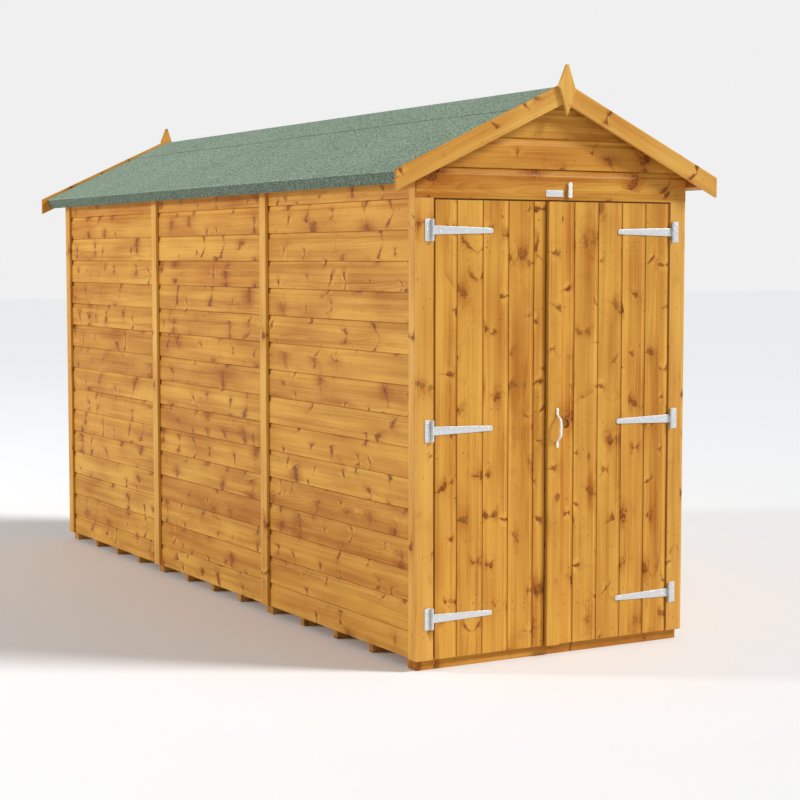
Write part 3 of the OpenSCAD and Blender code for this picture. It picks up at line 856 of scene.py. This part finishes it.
for sideName, outward, roofSide in (("left", (-1.0, 0.0, 0.0), -1), ("right", (1.0, 0.0, 0.0), 1)):
    for part in ("front", "middle", "rear"):
        node = sideName + "_" + part + "_panel"
        low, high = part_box(node)
        length = high.y - low.y
        rows = [36.0 * mm, length * 0.5, length - 36.0 * mm]
        layWall(sideName + "_" + part + "_cladding", node, outward, [roofSide], rows)
layWall("rear_cladding", "rear_panel", (0.0, 1.0, 0.0), [-1, 1], [90.0 * mm, 600.0 * mm, 1110.0 * mm])
layWall("front_gable_cladding", "front_gable", (0.0, -1.0, 0.0), [-1, 1],
        [45.0 * mm, 612.0 * mm, 1179.0 * mm])
print("shiplap laid")

timberGroups = [
    # body, slot and finish, then each piece's name, part and eased edge
    ("shed", "trim_wood", trimWood, [
        ("stiles", "front_stiles", 1.3), ("joint_cover_strips", "joint_strips", 1.6),
        ("front_corner_covers", "front_corner_strips", 1.3),
        ("rear_corner_covers", "rear_corner_strips", 1.3), ("front_barges", "front_barge_boards", 1.6),
        ("rear_barges", "rear_barge_boards", 1.6),
    ]),
    ("shed", "framing_wood", framingWood, [
        ("bearers", "floor_bearers", 1.2),
    ]),
    ("shed", "framing_wood", claddingWood, [
        ("sill_timbers", "sills", 1.5),
    ]),
    ("shed", "framing_wood", framingWood, [
        ("left_rails", "left_wall_rails", 1.0), ("right_rails", "right_wall_rails", 1.0),
        ("left_studs", "left_wall_studs", 1.0), ("right_studs", "right_wall_studs", 1.0),
        ("rear_rail", "rear_bottom_rail", 1.0), ("rear_wall_studs", "rear_studs", 1.0),
        ("posts", "door_posts", 1.2), ("head", "head_rail", 1.2), ("stops", "door_stops", 1.0),
        ("gable_wall_studs", "gable_studs", 1.0), ("rafters", "gable_rafters", 1.0),
        ("roof_purlins", "purlins", 1.0), ("eaves", "eaves_rails", 1.0),
    ]),
    ("left_door", "framing_wood", framingWood, [
        ("left_ledges", "left_door_ledges", 1.8), ("left_braces", "left_door_braces", 1.2),
    ]),
    ("right_door", "framing_wood", framingWood, [
        ("right_ledges", "right_door_ledges", 1.8), ("right_braces", "right_door_braces", 1.2),
    ]),
    ("right_door", "trim_wood", claddingWood, [
        ("meeting_strip", "door_strip", 1.6),
    ]),
]
for body, slotName, finish, pieces in timberGroups:
    for name, part, ease in pieces:
        dressTimber(name, part, body, finish, ease * mm)
for name, part in (("front_kite", "front_finial"), ("rear_kite", "rear_finial")):
    dressTimber(name, part, "shed", trimWood, 1.4 * mm, (0.0, 0.0, 1.0))
print("framing and trim dressed")

floorSet = {"board": 115.0 * mm, "joint": 0.9 * mm, "ease": 1.4 * mm}


def layFloor():
    # tongued boards run front to back over the bearers of each section
    low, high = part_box("floor_boards")
    section = (high.y - low.y) / 3.0
    target = newTimber()
    count = round((high.x - low.x) / floorSet["board"])
    width = (high.x - low.x) / count
    for part in range(3):
        for index in range(count):
            board = newTimber()
            bmesh.ops.create_cube(board, size=1.0)
            size = (width - floorSet["joint"], section - 1.0 * mm, high.z - low.z)
            middle = Vector((low.x + (index + 0.5) * width, low.y + (part + 0.5) * section,
                             (low.z + high.z) / 2.0))
            bmesh.ops.scale(board, vec=size, verts=board.verts[:])
            bmesh.ops.translate(board, vec=middle, verts=board.verts[:])
            easeEdges(board, floorSet["ease"], segments=1)
            place = frameOf(Vector((0, 1, 0)), Vector((-1, 0, 0)), Vector((0, 0, 1)), middle)
            markGrain(board, place, drawTone.random())
            joinInto(target, board)
    return makePiece("floor", target, framingWood, "shed", ["floor_boards"])


layFloor()

roofBoardSet = {
    "board": 115.0 * mm,
    "joint": 0.8 * mm,
    "ease": 3.0 * mm,
    "top": 4.0 * mm,
    "under": 13.9 * mm,
}


def layRoofBoards():
    # boards run from the ridge to the eaves, across the purlins
    s = roofBoardSet
    reach = roofSet["length"]
    count = round(2.0 * reach / s["board"])
    width = 2.0 * reach / count
    down = (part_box("right_felt")[1].x / math.cos(roofSet["pitch"])) - 5.0 * mm
    target = newTimber()
    for side in (-1, 1):
        for index in range(count):
            y = -reach + (index + 0.5) * width
            board = newTimber()
            bmesh.ops.create_cube(board, size=1.0)
            upper = roofPoint(side, 7.0 * mm, s["top"], y)
            lower = roofPoint(side, down, s["top"], y)
            inward = roofPoint(side, 0.0, 1.0, 0.0) - roofPoint(side, 0.0, 0.0, 0.0)
            along = (lower - upper).normalized()
            deep = s["under"] - s["top"]
            middle = (upper + lower) / 2.0 + inward * deep / 2.0
            size = ((lower - upper).length, width - s["joint"], deep)
            place = frameOf(along, inward.cross(along), inward, middle)
            bmesh.ops.scale(board, vec=size, verts=board.verts[:])
            board.transform(place)
            easeEdges(board, s["ease"], segments=1)
            markGrain(board, place, drawTone.random())
            joinInto(target, board)
    return makePiece("roof_boarding", target, framingWood, "shed", ["roof_boards"])


layRoofBoards()
print("floor and roof boarded")

feltSet = {
    "fold": 7.0 * mm,  # radius of the turn over the eave
    "thick": 2.6 * mm,
    "ripple": 0.9 * mm,
    "rows": 96,
    "capHalf": 222.0 * mm,
    "capThick": 1.2 * mm,
    "capRipple": 0.5 * mm,
    "capWander": 9.0 * mm,
    "drop": 51.0 * mm,  # hangs this far below the turn's start
}


def sweepSheet(points, thick, ripple, edgeWander=0.0):
    # a row of points along the slope, carried from the front gable to the rear one
    bm = newFitting()
    reach = roofSet["length"] - 0.3 * mm
    verts = [bm.verts.new((p.x, -reach, p.z)) for p in points]
    edges = [bm.edges.new(pair) for pair in zip(verts, verts[1:])]
    step = 2.0 * reach / feltSet["rows"]
    for _ in range(feltSet["rows"]):
        pushed = bmesh.ops.extrude_edge_only(bm, edges=edges)["geom"]
        moved = [g for g in pushed if isinstance(g, bmesh.types.BMVert)]
        edges = [g for g in pushed if isinstance(g, bmesh.types.BMEdge)]
        bmesh.ops.translate(bm, vec=(0.0, step, 0.0), verts=moved)
    for face in bm.faces:
        face.normal_update()
    top = max(bm.faces, key=lambda f: abs(f.normal.z))
    if top.normal.z < 0.0:
        bmesh.ops.reverse_faces(bm, faces=bm.faces[:])
    bm.normal_update()
    inward = [v.normal.copy() for v in bm.verts]
    for vert, normal in zip(bm.verts, inward):
        wave = noise.noise(Vector((vert.co.x * 5.0, vert.co.y * 3.0, vert.co.z * 5.0)))
        vert.co -= normal * ripple * (0.5 + 0.5 * wave)
    if edgeWander:
        rims = [v for v in bm.verts if abs(abs(v.co.x) - max(abs(p.x) for p in points)) < 2.0 * mm]
        for vert in rims:
            wave = noise.noise(Vector((7.0 + vert.co.x, vert.co.y * 1.3, 0.0)))
            outward = Vector((math.copysign(1.0, vert.co.x), 0.0, -math.tan(roofSet["pitch"])))
            vert.co += outward * wave * edgeWander
    bmesh.ops.solidify(bm, geom=bm.faces[:], thickness=thick)
    return bm


def layFelt(side):
    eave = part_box("right_felt")[1].x / math.cos(roofSet["pitch"])
    drop, fold = feltSet["drop"], feltSet["fold"]
    points = [roofPoint(side, 0.4 * mm, 0.0, 0.0)]
    steps = 14
    for index in range(1, steps):
        points.append(roofPoint(side, (eave - fold) * index / steps, 0.0, 0.0))
    for index in range(7):
        angle = math.pi / 2.0 * index / 6.0
        points.append(roofPoint(side, eave - fold + fold * math.sin(angle),
                                fold - fold * math.cos(angle), 0.0))
    for share in (0.35, 0.7, 1.0):
        points.append(roofPoint(side, eave, fold + (drop - fold) * share, 0.0))
    sheet = sweepSheet(points, feltSet["thick"], feltSet["ripple"])
    node = "left_felt" if side < 0 else "right_felt"
    return makePiece(node + "_sheet", sheet, roofFelt, "shed", [node], 40.0)


def layRidgeCap():
    half, thick = feltSet["capHalf"], feltSet["capThick"]
    points = []
    for side in (-1, 1):
        run = [half, half * 0.8, half * 0.6, half * 0.4, half * 0.2, 0.06 * half]
        if side > 0:
            run = run[::-1]
        points += [roofPoint(side, down, -thick, 0.0) for down in run]
        if side < 0:
            points.append(roofPoint(1, 0.0, -thick + 0.4 * mm, 0.0))
    cap = sweepSheet(points, thick, feltSet["capRipple"], feltSet["capWander"])
    return makePiece("ridge_cap_felt", cap, roofFelt, "shed", (), 40.0)


layFelt(-1)
layFelt(1)
layRidgeCap()
print("felt laid")

doorSet = {
    "left": [-551.0, -438.0, -325.5, -213.0, -100.5, 12.0],
    "right": [-139.8, -27.5, 84.8, 197.0, 309.3, 421.5, 533.8],
    "nailRows": [1577.0, 1541.0, 881.0, 231.0, 195.0],
    "hole": (46.0, 886.0),
    "holeRadius": 17.0,
}


def cutHole(board, spot, radius):
    spare = bpy.data.meshes.new("spareBoard")
    board.to_mesh(spare)
    board.free()
    cutter = bmesh.new()
    turn = Matrix.Rotation(math.radians(90.0), 4, "X")
    bmesh.ops.create_cone(cutter, cap_ends=True, segments=40, radius1=radius, radius2=radius,
                          depth=60.0 * mm, matrix=Matrix.Translation(spot) @ turn)
    cutterMesh = bpy.data.meshes.new("cutter")
    cutter.to_mesh(cutterMesh)
    cutter.free()
    boardObject = bpy.data.objects.new("spareBoard", spare)
    cutterObject = bpy.data.objects.new("cutter", cutterMesh)
    for item in (boardObject, cutterObject):
        scene.collection.objects.link(item)
    drill = boardObject.modifiers.new("drill", "BOOLEAN")
    drill.object = cutterObject
    drill.operation = "DIFFERENCE"
    drill.solver = "EXACT"
    bpy.context.view_layer.update()
    drilled = boardObject.evaluated_get(bpy.context.evaluated_depsgraph_get())
    result = newTimber()
    result.from_mesh(drilled.to_mesh())
    drilled.to_mesh_clear()
    for item in (boardObject, cutterObject):
        bpy.data.objects.remove(item)
    bpy.data.meshes.remove(spare)
    bpy.data.meshes.remove(cutterMesh)
    return result


def layDoor(side):
    node = side + "_door_boards"
    low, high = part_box(node)
    outward = Vector((0.0, -1.0, 0.0))
    across = Vector((1.0, 0.0, 0.0))
    along = across.cross(outward)
    edges = [e * mm for e in doorSet[side]]
    length = high.z - low.z
    target = newTimber()
    for left, right in zip(edges, edges[1:]):
        cover = right - left
        outline = shiplapOutline(cover, shiplapSet["doorScoop"], shiplapSet["doorScoopDepth"],
                                 shiplapSet["doorSlot"], shiplapSet["doorSlotDepth"])
        board = extrudeBoard(outline, length)
        place = frameOf(along, across, outward, Vector((left, high.y, high.z)))
        board.transform(place)
        trim(board, Vector((low.x, 0.0, 0.0)), Vector((-1.0, 0.0, 0.0)))
        trim(board, Vector((high.x, 0.0, 0.0)), Vector((1.0, 0.0, 0.0)))
        holeX, holeZ = doorSet["hole"][0] * mm, doorSet["hole"][1] * mm
        if side == "right" and left < holeX < right:
            board = cutHole(board, Vector((holeX, low.y, holeZ)), doorSet["holeRadius"] * mm)
            rim = [e for e in board.edges if e.is_manifold and e.calc_face_angle(0.0) > 1.2
                   and all(abs((v.co.xz - Vector((holeX, holeZ))).length
                               - doorSet["holeRadius"] * mm) < 0.1 * mm for v in e.verts)]
            bmesh.ops.bevel(board, geom=rim, offset=0.9 * mm, affect="EDGES", segments=2,
                            profile=0.5, material=-1)
        easeEdges(board, 0.7 * mm, 70.0, 1)
        middle = place @ Matrix.Translation((length / 2.0, cover / 2.0, 0.0))
        markGrain(board, middle, drawTone.random())
        joinInto(target, board)
    makePiece(side + "_door_cladding", target, claddingWood, side + "_door", [node])
    nails = newFitting()
    for row in doorSet["nailRows"]:
        for left, right in zip(edges, edges[1:]):
            for share in (0.2, 0.66):
                x = left + (right - left) * share + drawTone.uniform(-6.0, 6.0) * mm
                z = row * mm + drawTone.uniform(-3.0, 3.0) * mm
                clear = math.hypot(x - doorSet["hole"][0] * mm, z - doorSet["hole"][1] * mm)
                onDoor = low.x + 9.0 * mm < x < high.x - 22.0 * mm
                covered = side == "right" and x < 20.0 * mm
                if onDoor and not covered and clear > 24.0 * mm:
                    addNail(nails, Vector((x, low.y, z)), outward)
    makePiece(side + "_door_nails", nails, nailSteel, side + "_door")


layDoor("left")
layDoor("right")
print("doors boarded")

hingeSet = {
    "heights": [193.0, 886.0, 1617.0],
    "knuckle": 6.0,
    "plateHalf": 40.0,
    "plateOut": 30.0,
    "strapHalf": 16.0,
    "tipHalf": 9.5,
    "length": 263.0,
    "metal": 2.8,
    "pin": 3.0,
    "ease": 0.7 * mm,
    "screw": (3.6 * mm, 1.3 * mm),  # radius and rise
    "strapScrews": [(34.0, -6.0), (80.0, 6.0), (146.0, -2.5), (243.0, 0.0)],
    "plateScrews": [(19.0, 27.0), (21.5, 0.0), (19.0, -27.0)],
}


def facePlate(bm, corners, y, thick, ease, rounded=()):
    # outline in x and z whose named corners are rounded, then pushed back and eased
    verts = [bm.verts.new((x * mm, y, z * mm)) for x, z in corners]
    face = bm.faces.new(verts)
    if rounded:
        bmesh.ops.bevel(bm, geom=[verts[i] for i, r in rounded], offset=rounded[0][1] * mm,
                        affect="VERTICES", segments=8, profile=0.5, material=-1)
        face = max(bm.faces, key=lambda f: f.calc_area())
    pushFace(bm, face, (0.0, thick, 0.0))
    rim = [e for e in sharpEdges(bm, 1.0) if all(abs(v.co.y - y) < 0.01 * mm for v in e.verts)]
    soften(bm, rim, ease, 3)


def addBarrel(target, y, low, high, radius):
    # rolled knuckle with softened rims
    bm = newFitting()
    middle = Matrix.Translation((0.0, y, (low + high) / 2.0))
    bmesh.ops.create_cone(bm, cap_ends=True, segments=28, radius1=radius, radius2=radius,
                          depth=high - low, matrix=middle)
    soften(bm, sharpEdges(bm, 1.0), hingeSet["ease"], 2)
    joinInto(target, bm)


def buildHinges():
    s = hingeSet
    plateLow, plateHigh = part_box("hinge_plates")
    pinX = plateHigh.x - s["plateOut"] * mm
    frontY = plateHigh.y
    pinY = plateLow.y + s["knuckle"] * mm
    plates = newFitting()
    screws = newFitting()
    for side in (-1, 1):
        straps = newFitting()
        strapScrews = newFitting()
        for index, height in enumerate(s["heights"]):
            z = height * mm
            plate = newFitting()
            outline = [(2.0, -s["plateHalf"]), (s["plateOut"], -s["plateHalf"]),
                       (s["plateOut"], s["plateHalf"]), (2.0, s["plateHalf"])]
            facePlate(plate, outline, frontY - s["metal"] * mm, (s["metal"] - 0.1) * mm, 0.7 * mm,
                      [(1, 2.5), (2, 2.5)])
            trimGap = s["strapHalf"] + 0.8
            for sign in (-1, 1):
                low, high = sorted((sign * trimGap * mm, sign * (s["plateHalf"] - 0.6) * mm))
                addBarrel(plate, pinY, low, high, s["knuckle"] * mm)
            addBarrel(plate, pinY, -s["plateHalf"] * mm, s["plateHalf"] * mm, s["pin"] * mm)
            flip = Matrix.Diagonal((side, 1.0, 1.0, 1.0))
            plate.transform(Matrix.Translation((side * pinX, 0.0, z)) @ flip)
            joinInto(plates, plate)
            for number, (out, up) in enumerate(s["plateScrews"]):
                spot = Vector((side * (pinX + out * mm), frontY - s["metal"] * mm, z + up * mm))
                addScrew(screws, spot, (0.0, -1.0, 0.0), 3.6 * mm, 1.3 * mm, 0.5 * number + index)
            strap = newFitting()
            arm = s["length"]
            outline = [(0.0, -s["strapHalf"]), (7.0, -s["strapHalf"]), (arm, -s["tipHalf"]),
                       (arm, s["tipHalf"]), (7.0, s["strapHalf"]), (0.0, s["strapHalf"])]
            facePlate(strap, outline, frontY - (s["metal"] + 0.4) * mm, s["metal"] * mm, 0.7 * mm,
                      [(2, 8.5), (3, 8.5)])
            addBarrel(strap, pinY, -s["strapHalf"] * mm, s["strapHalf"] * mm, s["knuckle"] * mm)
            turn = Matrix.Diagonal((-side, 1.0, 1.0, 1.0))
            strap.transform(Matrix.Translation((side * pinX, 0.0, z)) @ turn)
            joinInto(straps, strap)
            for number, (out, up) in enumerate(s["strapScrews"]):
                spot = Vector((side * (pinX - out * mm), frontY - (s["metal"] + 0.4) * mm, z + up * mm))
                addScrew(strapScrews, spot, (0.0, -1.0, 0.0), 3.6 * mm, 1.3 * mm, 0.7 * number + index)
        name = "left" if side < 0 else "right"
        node = name + "_hinge_straps"
        makePiece(name + "_straps", straps, zincSteel, name + "_door", [node], 40.0)
        makePiece(name + "_strap_screws", strapScrews, screwZinc, name + "_door", (), 40.0)
    makePiece("hinge_leaves", plates, zincSteel, "shed", ["hinge_plates"], 40.0)
    makePiece("hinge_leaf_screws", screws, screwZinc, "shed", (), 40.0)


buildHinges()
print("hinges made")

handleSet = {
    "height": 874.0,
    "x": -3.0,
    # out from the strip, up from the middle, half width, half thickness
    "stations": [
        (1.9, 76.3, 2.4, 1.1), (2.0, 75.0, 5.0, 1.8), (2.1, 71.0, 6.6, 2.0), (2.1, 60.0, 6.6, 2.1),
        (2.3, 53.5, 6.0, 2.2), (3.6, 49.5, 4.9, 2.9), (8.0, 45.5, 4.8, 3.3), (16.0, 40.0, 5.2, 3.4),
        (22.5, 34.0, 5.7, 3.5), (25.9, 26.0, 6.0, 3.5), (26.5, 13.0, 6.1, 3.5), (26.5, 0.0, 6.1, 3.5),
    ],
    "screwUp": 66.0,
}


def buildHandle():
    s = handleSet
    stripLow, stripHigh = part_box("door_strip")
    half = s["stations"]
    stations = half + [(out, -up, wide, thick) for out, up, wide, thick in half[-2::-1]]
    bm = newFitting()
    loops = []
    for index, (out, up, wide, thick) in enumerate(stations):
        last = stations[max(index - 1, 0)]
        after = stations[min(index + 1, len(stations) - 1)]
        path = Vector((0.0, -(after[0] - last[0]), after[1] - last[1])).normalized()
        across = Vector((1.0, 0.0, 0.0))
        spot = Vector((s["x"] * mm, stripLow.y - out * mm, (s["height"] + up) * mm))
        place = frameOf(across, path.cross(across), path, spot)
        turn = Matrix.Rotation(math.radians(22.5), 4, "Z")
        grow = Matrix.Diagonal((wide * mm, thick * mm, 1.0, 1.0))
        before = len(bm.edges)
        bmesh.ops.create_circle(bm, cap_ends=False, segments=8, radius=1.06, matrix=place @ grow @ turn)
        loops.append(list(bm.edges)[before:])
    for first, second in zip(loops, loops[1:]):
        bmesh.ops.bridge_loops(bm, edges=first + second)
    bmesh.ops.edgeloop_fill(bm, edges=loops[0])
    bmesh.ops.edgeloop_fill(bm, edges=loops[-1])
    handle = makePiece("handle", bm, creamPlastic, "right_door", ["door_handle"], 180.0)
    smooth = handle.modifiers.new("rounding", "SUBSURF")
    smooth.levels = 2
    smooth.render_levels = 2
    screws = newFitting()
    for sign in (-1, 1):
        spot = Vector((s["x"] * mm, stripLow.y - 3.9 * mm, (s["height"] + sign * s["screwUp"]) * mm))
        addScrew(screws, spot, (0.0, -1.0, 0.0), 3.7 * mm, 1.5 * mm, 0.3 + sign)
    makePiece("handle_screws", screws, screwZinc, "right_door", (), 40.0)


buildHandle()

buttonSet = {
    "x": 55.0,
    "height": 1757.0,
    # half widths up the button, from its short end to its long one
    "outline": [(-14.9, 3.4), (-13.6, 6.6), (-10.8, 8.9), (-6.0, 9.8), (-1.6, 9.0), (2.0, 7.6),
                (5.6, 8.6), (10.0, 9.9), (14.4, 8.8), (18.0, 7.6), (24.0, 7.4), (28.5, 8.5),
                (34.0, 9.9), (39.0, 8.9), (42.2, 6.4), (43.8, 3.2)],
    "thick": 5.8,
    "ease": 1.4,
}


def buildButton():
    s = buttonSet
    low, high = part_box("turn_button")
    back = low.y + 6.0 * mm
    bm = newFitting()
    right = [(s["x"] + wide, s["height"] + up) for up, wide in s["outline"]]
    left = [(s["x"] - wide, s["height"] + up) for up, wide in reversed(s["outline"])]
    verts = [bm.verts.new((x * mm, low.y, z * mm)) for x, z in right + left]
    face = bm.faces.new(verts)
    pushFace(bm, face, (0.0, s["thick"] * mm, 0.0))
    soften(bm, sharpEdges(bm, 1.2), s["ease"] * mm, 4)
    boss = newFitting()
    middle = Vector((s["x"] * mm, (back + high.y) / 2.0 - 0.1 * mm, s["height"] * mm))
    bmesh.ops.create_cone(boss, cap_ends=True, segments=24, radius1=7.5 * mm, radius2=7.0 * mm,
                          depth=high.y - back + 0.4 * mm, matrix=turnTo((0.0, -1.0, 0.0), middle))
    joinInto(bm, boss)
    makePiece("turn_catch", bm, creamPlastic, "turn_button", ["turn_button"], 40.0)
    screw = newFitting()
    addScrew(screw, Vector((s["x"] * mm, low.y + 0.1 * mm, s["height"] * mm)), (0.0, -1.0, 0.0),
             4.2 * mm, 1.4 * mm, 0.6)
    makePiece("turn_catch_screw", screw, screwZinc, "turn_button", (), 40.0)


buildButton()

plateSet = {"corner": 2.0, "ease": 0.4 * mm, "pinInset": 4.0 * mm, "pin": 1.2 * mm}


def buildPlate():
    low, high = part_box("name_plate")
    bm = newFitting()
    outline = [(low.x / mm, low.z / mm), (high.x / mm, low.z / mm),
               (high.x / mm, high.z / mm), (low.x / mm, high.z / mm)]
    corner = plateSet["corner"]
    facePlate(bm, outline, low.y + 0.4 * mm, high.y - low.y - 0.4 * mm, plateSet["ease"],
              [(0, corner), (1, corner), (2, corner), (3, corner)])
    makePiece("blank_plate", bm, plateMetal, "shed", ["name_plate"], 40.0)
    pins = newFitting()
    for x in (low.x + plateSet["pinInset"], high.x - plateSet["pinInset"]):
        spot = Vector((x, low.y + 0.3 * mm, (low.z + high.z) / 2.0))
        addNail(pins, spot, (0.0, -1.0, 0.0), plateSet["pin"])
    makePiece("plate_pins", pins, nailSteel, "shed", (), 40.0)


buildPlate()
print("handle, button and plate made")


trimNailSet = {
    "rows": 6,
    "stile": (0.11, 0.305),  # lowest nail and the step up to the next
    "strip": (0.12, 0.315),
    "barge": ((95.0, 30.0), (400.0, 12.0), (430.0, 44.0), (735.0, 26.0)),
}


def nailTrim():
    # stiles, cover strips and barge boards
    s = trimNailSet
    front = Vector((0.0, -1.0, 0.0))
    stileLow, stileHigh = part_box("front_stiles")
    for x in (stileLow.x + 31.0 * mm, stileHigh.x - 26.0 * mm):
        for index in range(s["rows"]):
            z = s["stile"][0] + index * s["stile"][1] + drawTone.uniform(-20.0, 20.0) * mm
            addNail(shedNails, Vector((x + drawTone.uniform(-5, 5) * mm, stileLow.y, z)), front)
    for node in ("joint_strips", "front_corner_strips", "rear_corner_strips"):
        low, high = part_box(node)
        rows = [low.y + 29.0 * mm, high.y - 29.0 * mm]
        if node == "front_corner_strips":
            rows = [(low.y + high.y) / 2.0 + 4.0 * mm]
        for side in (-1, 1):
            for y in rows if node != "rear_corner_strips" else rows[-1:]:
                for index in range(s["rows"]):
                    z = s["strip"][0] + index * s["strip"][1] + drawTone.uniform(-20.0, 20.0) * mm
                    spot = Vector((side * high.x, y + drawTone.uniform(-4, 4) * mm, z))
                    addNail(shedNails, spot, (side, 0.0, 0.0))
    for node, face in (("front_barge_boards", -1.0), ("rear_barge_boards", 1.0)):
        low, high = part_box(node)
        y = low.y if face < 0 else high.y
        for side in (-1, 1):
            for down, depth in s["barge"]:
                spot = roofPoint(side, down * mm, depth * mm, y)
                addNail(shedNails, spot, (0.0, face, 0.0), 2.0 * mm)


nailTrim()
makePiece("shed_nails", shedNails, nailSteel, "shed")
print("nails driven")

stageSet = {
    "size": 120.0,
    "colour": (0.965, 0.975, 0.985, 1.0),
    "patchColour": (0.955, 0.965, 0.975, 1.0),
    "ambient": 0.345,
    "backdrop": 0.872,
    "sun": {"toward": (0.63, -0.47, 0.62), "strength": 2.72, "spread": 14.0},
    "left": {"place": (-12.5, 6.4, 4.3), "aim": (-0.6, 0.0, 1.0), "size": 1.7, "power": 960.0},
}


def addLamp(name, lamp):
    data = bpy.data.lights.new(name, "AREA")
    data.shape = "SQUARE"
    data.size = lamp["size"]
    data.energy = lamp["power"]
    item = bpy.data.objects.new(name, data)
    item.location = lamp["place"]
    direction = Vector(lamp["aim"]) - Vector(lamp["place"])
    item.rotation_euler = direction.to_track_quat("-Z", "Y").to_euler()
    scene.collection.objects.link(item)


def addSun(name, lamp):
    data = bpy.data.lights.new(name, "SUN")
    data.energy = lamp["strength"]
    data.angle = math.radians(lamp["spread"])
    item = bpy.data.objects.new(name, data)
    item.location = (6.0, -6.0, 6.0)
    item.rotation_euler = Vector(lamp["toward"]).to_track_quat("Z", "Y").to_euler()
    scene.collection.objects.link(item)


def addWorld():
    # the backdrop is paler to the eye than the light it gives
    world = bpy.data.worlds.new("studio")
    world.use_nodes = True
    w = Weave(world.node_tree)
    ambient = next(n for n in w.tree.nodes if n.type == "BACKGROUND")
    output = next(n for n in w.tree.nodes if n.type == "OUTPUT_WORLD")
    ambient.inputs["Color"].default_value = (1.0, 1.0, 1.0, 1.0)
    ambient.inputs["Strength"].default_value = stageSet["ambient"]
    backdrop = w.node("Background", {"Color": (1.0, 1.0, 1.0, 1.0), "Strength": stageSet["backdrop"]})
    seen = w.node("LightPath").outputs["Is Camera Ray"]
    both = w.node("MixShader", {0: seen, 1: ambient.outputs[0], 2: backdrop.outputs[0]})
    w.link(both.outputs[0], output.inputs["Surface"])
    scene.world = world


addSun("keySun", stageSet["sun"])
addLamp("leftLamp", stageSet["left"])
addWorld()
scene.view_settings.view_transform = "Standard"

floorFinish, w, floorShader = newFinish("paleFloor", Roughness=0.85, Specular_IOR_Level=0.1)
floorPatches = w.cloud(w.place(), (0.6, 0.6, 0.6), 2.0)
floorShade = w.blend(floorPatches, stageSet["colour"], stageSet["patchColour"])
w.link(floorShade, floorShader.inputs["Base Color"])
floorMesh = bpy.data.meshes.new("stageFloor")
floorBm = bmesh.new()
bmesh.ops.create_grid(floorBm, x_segments=2, y_segments=2, size=stageSet["size"] / 2.0)
floorBm.to_mesh(floorMesh)
floorBm.free()
floorMesh.materials.append(floorFinish)
stageFloor = bpy.data.objects.new("stageFloor", floorMesh)
scene.collection.objects.link(stageFloor)
print("stage lit")
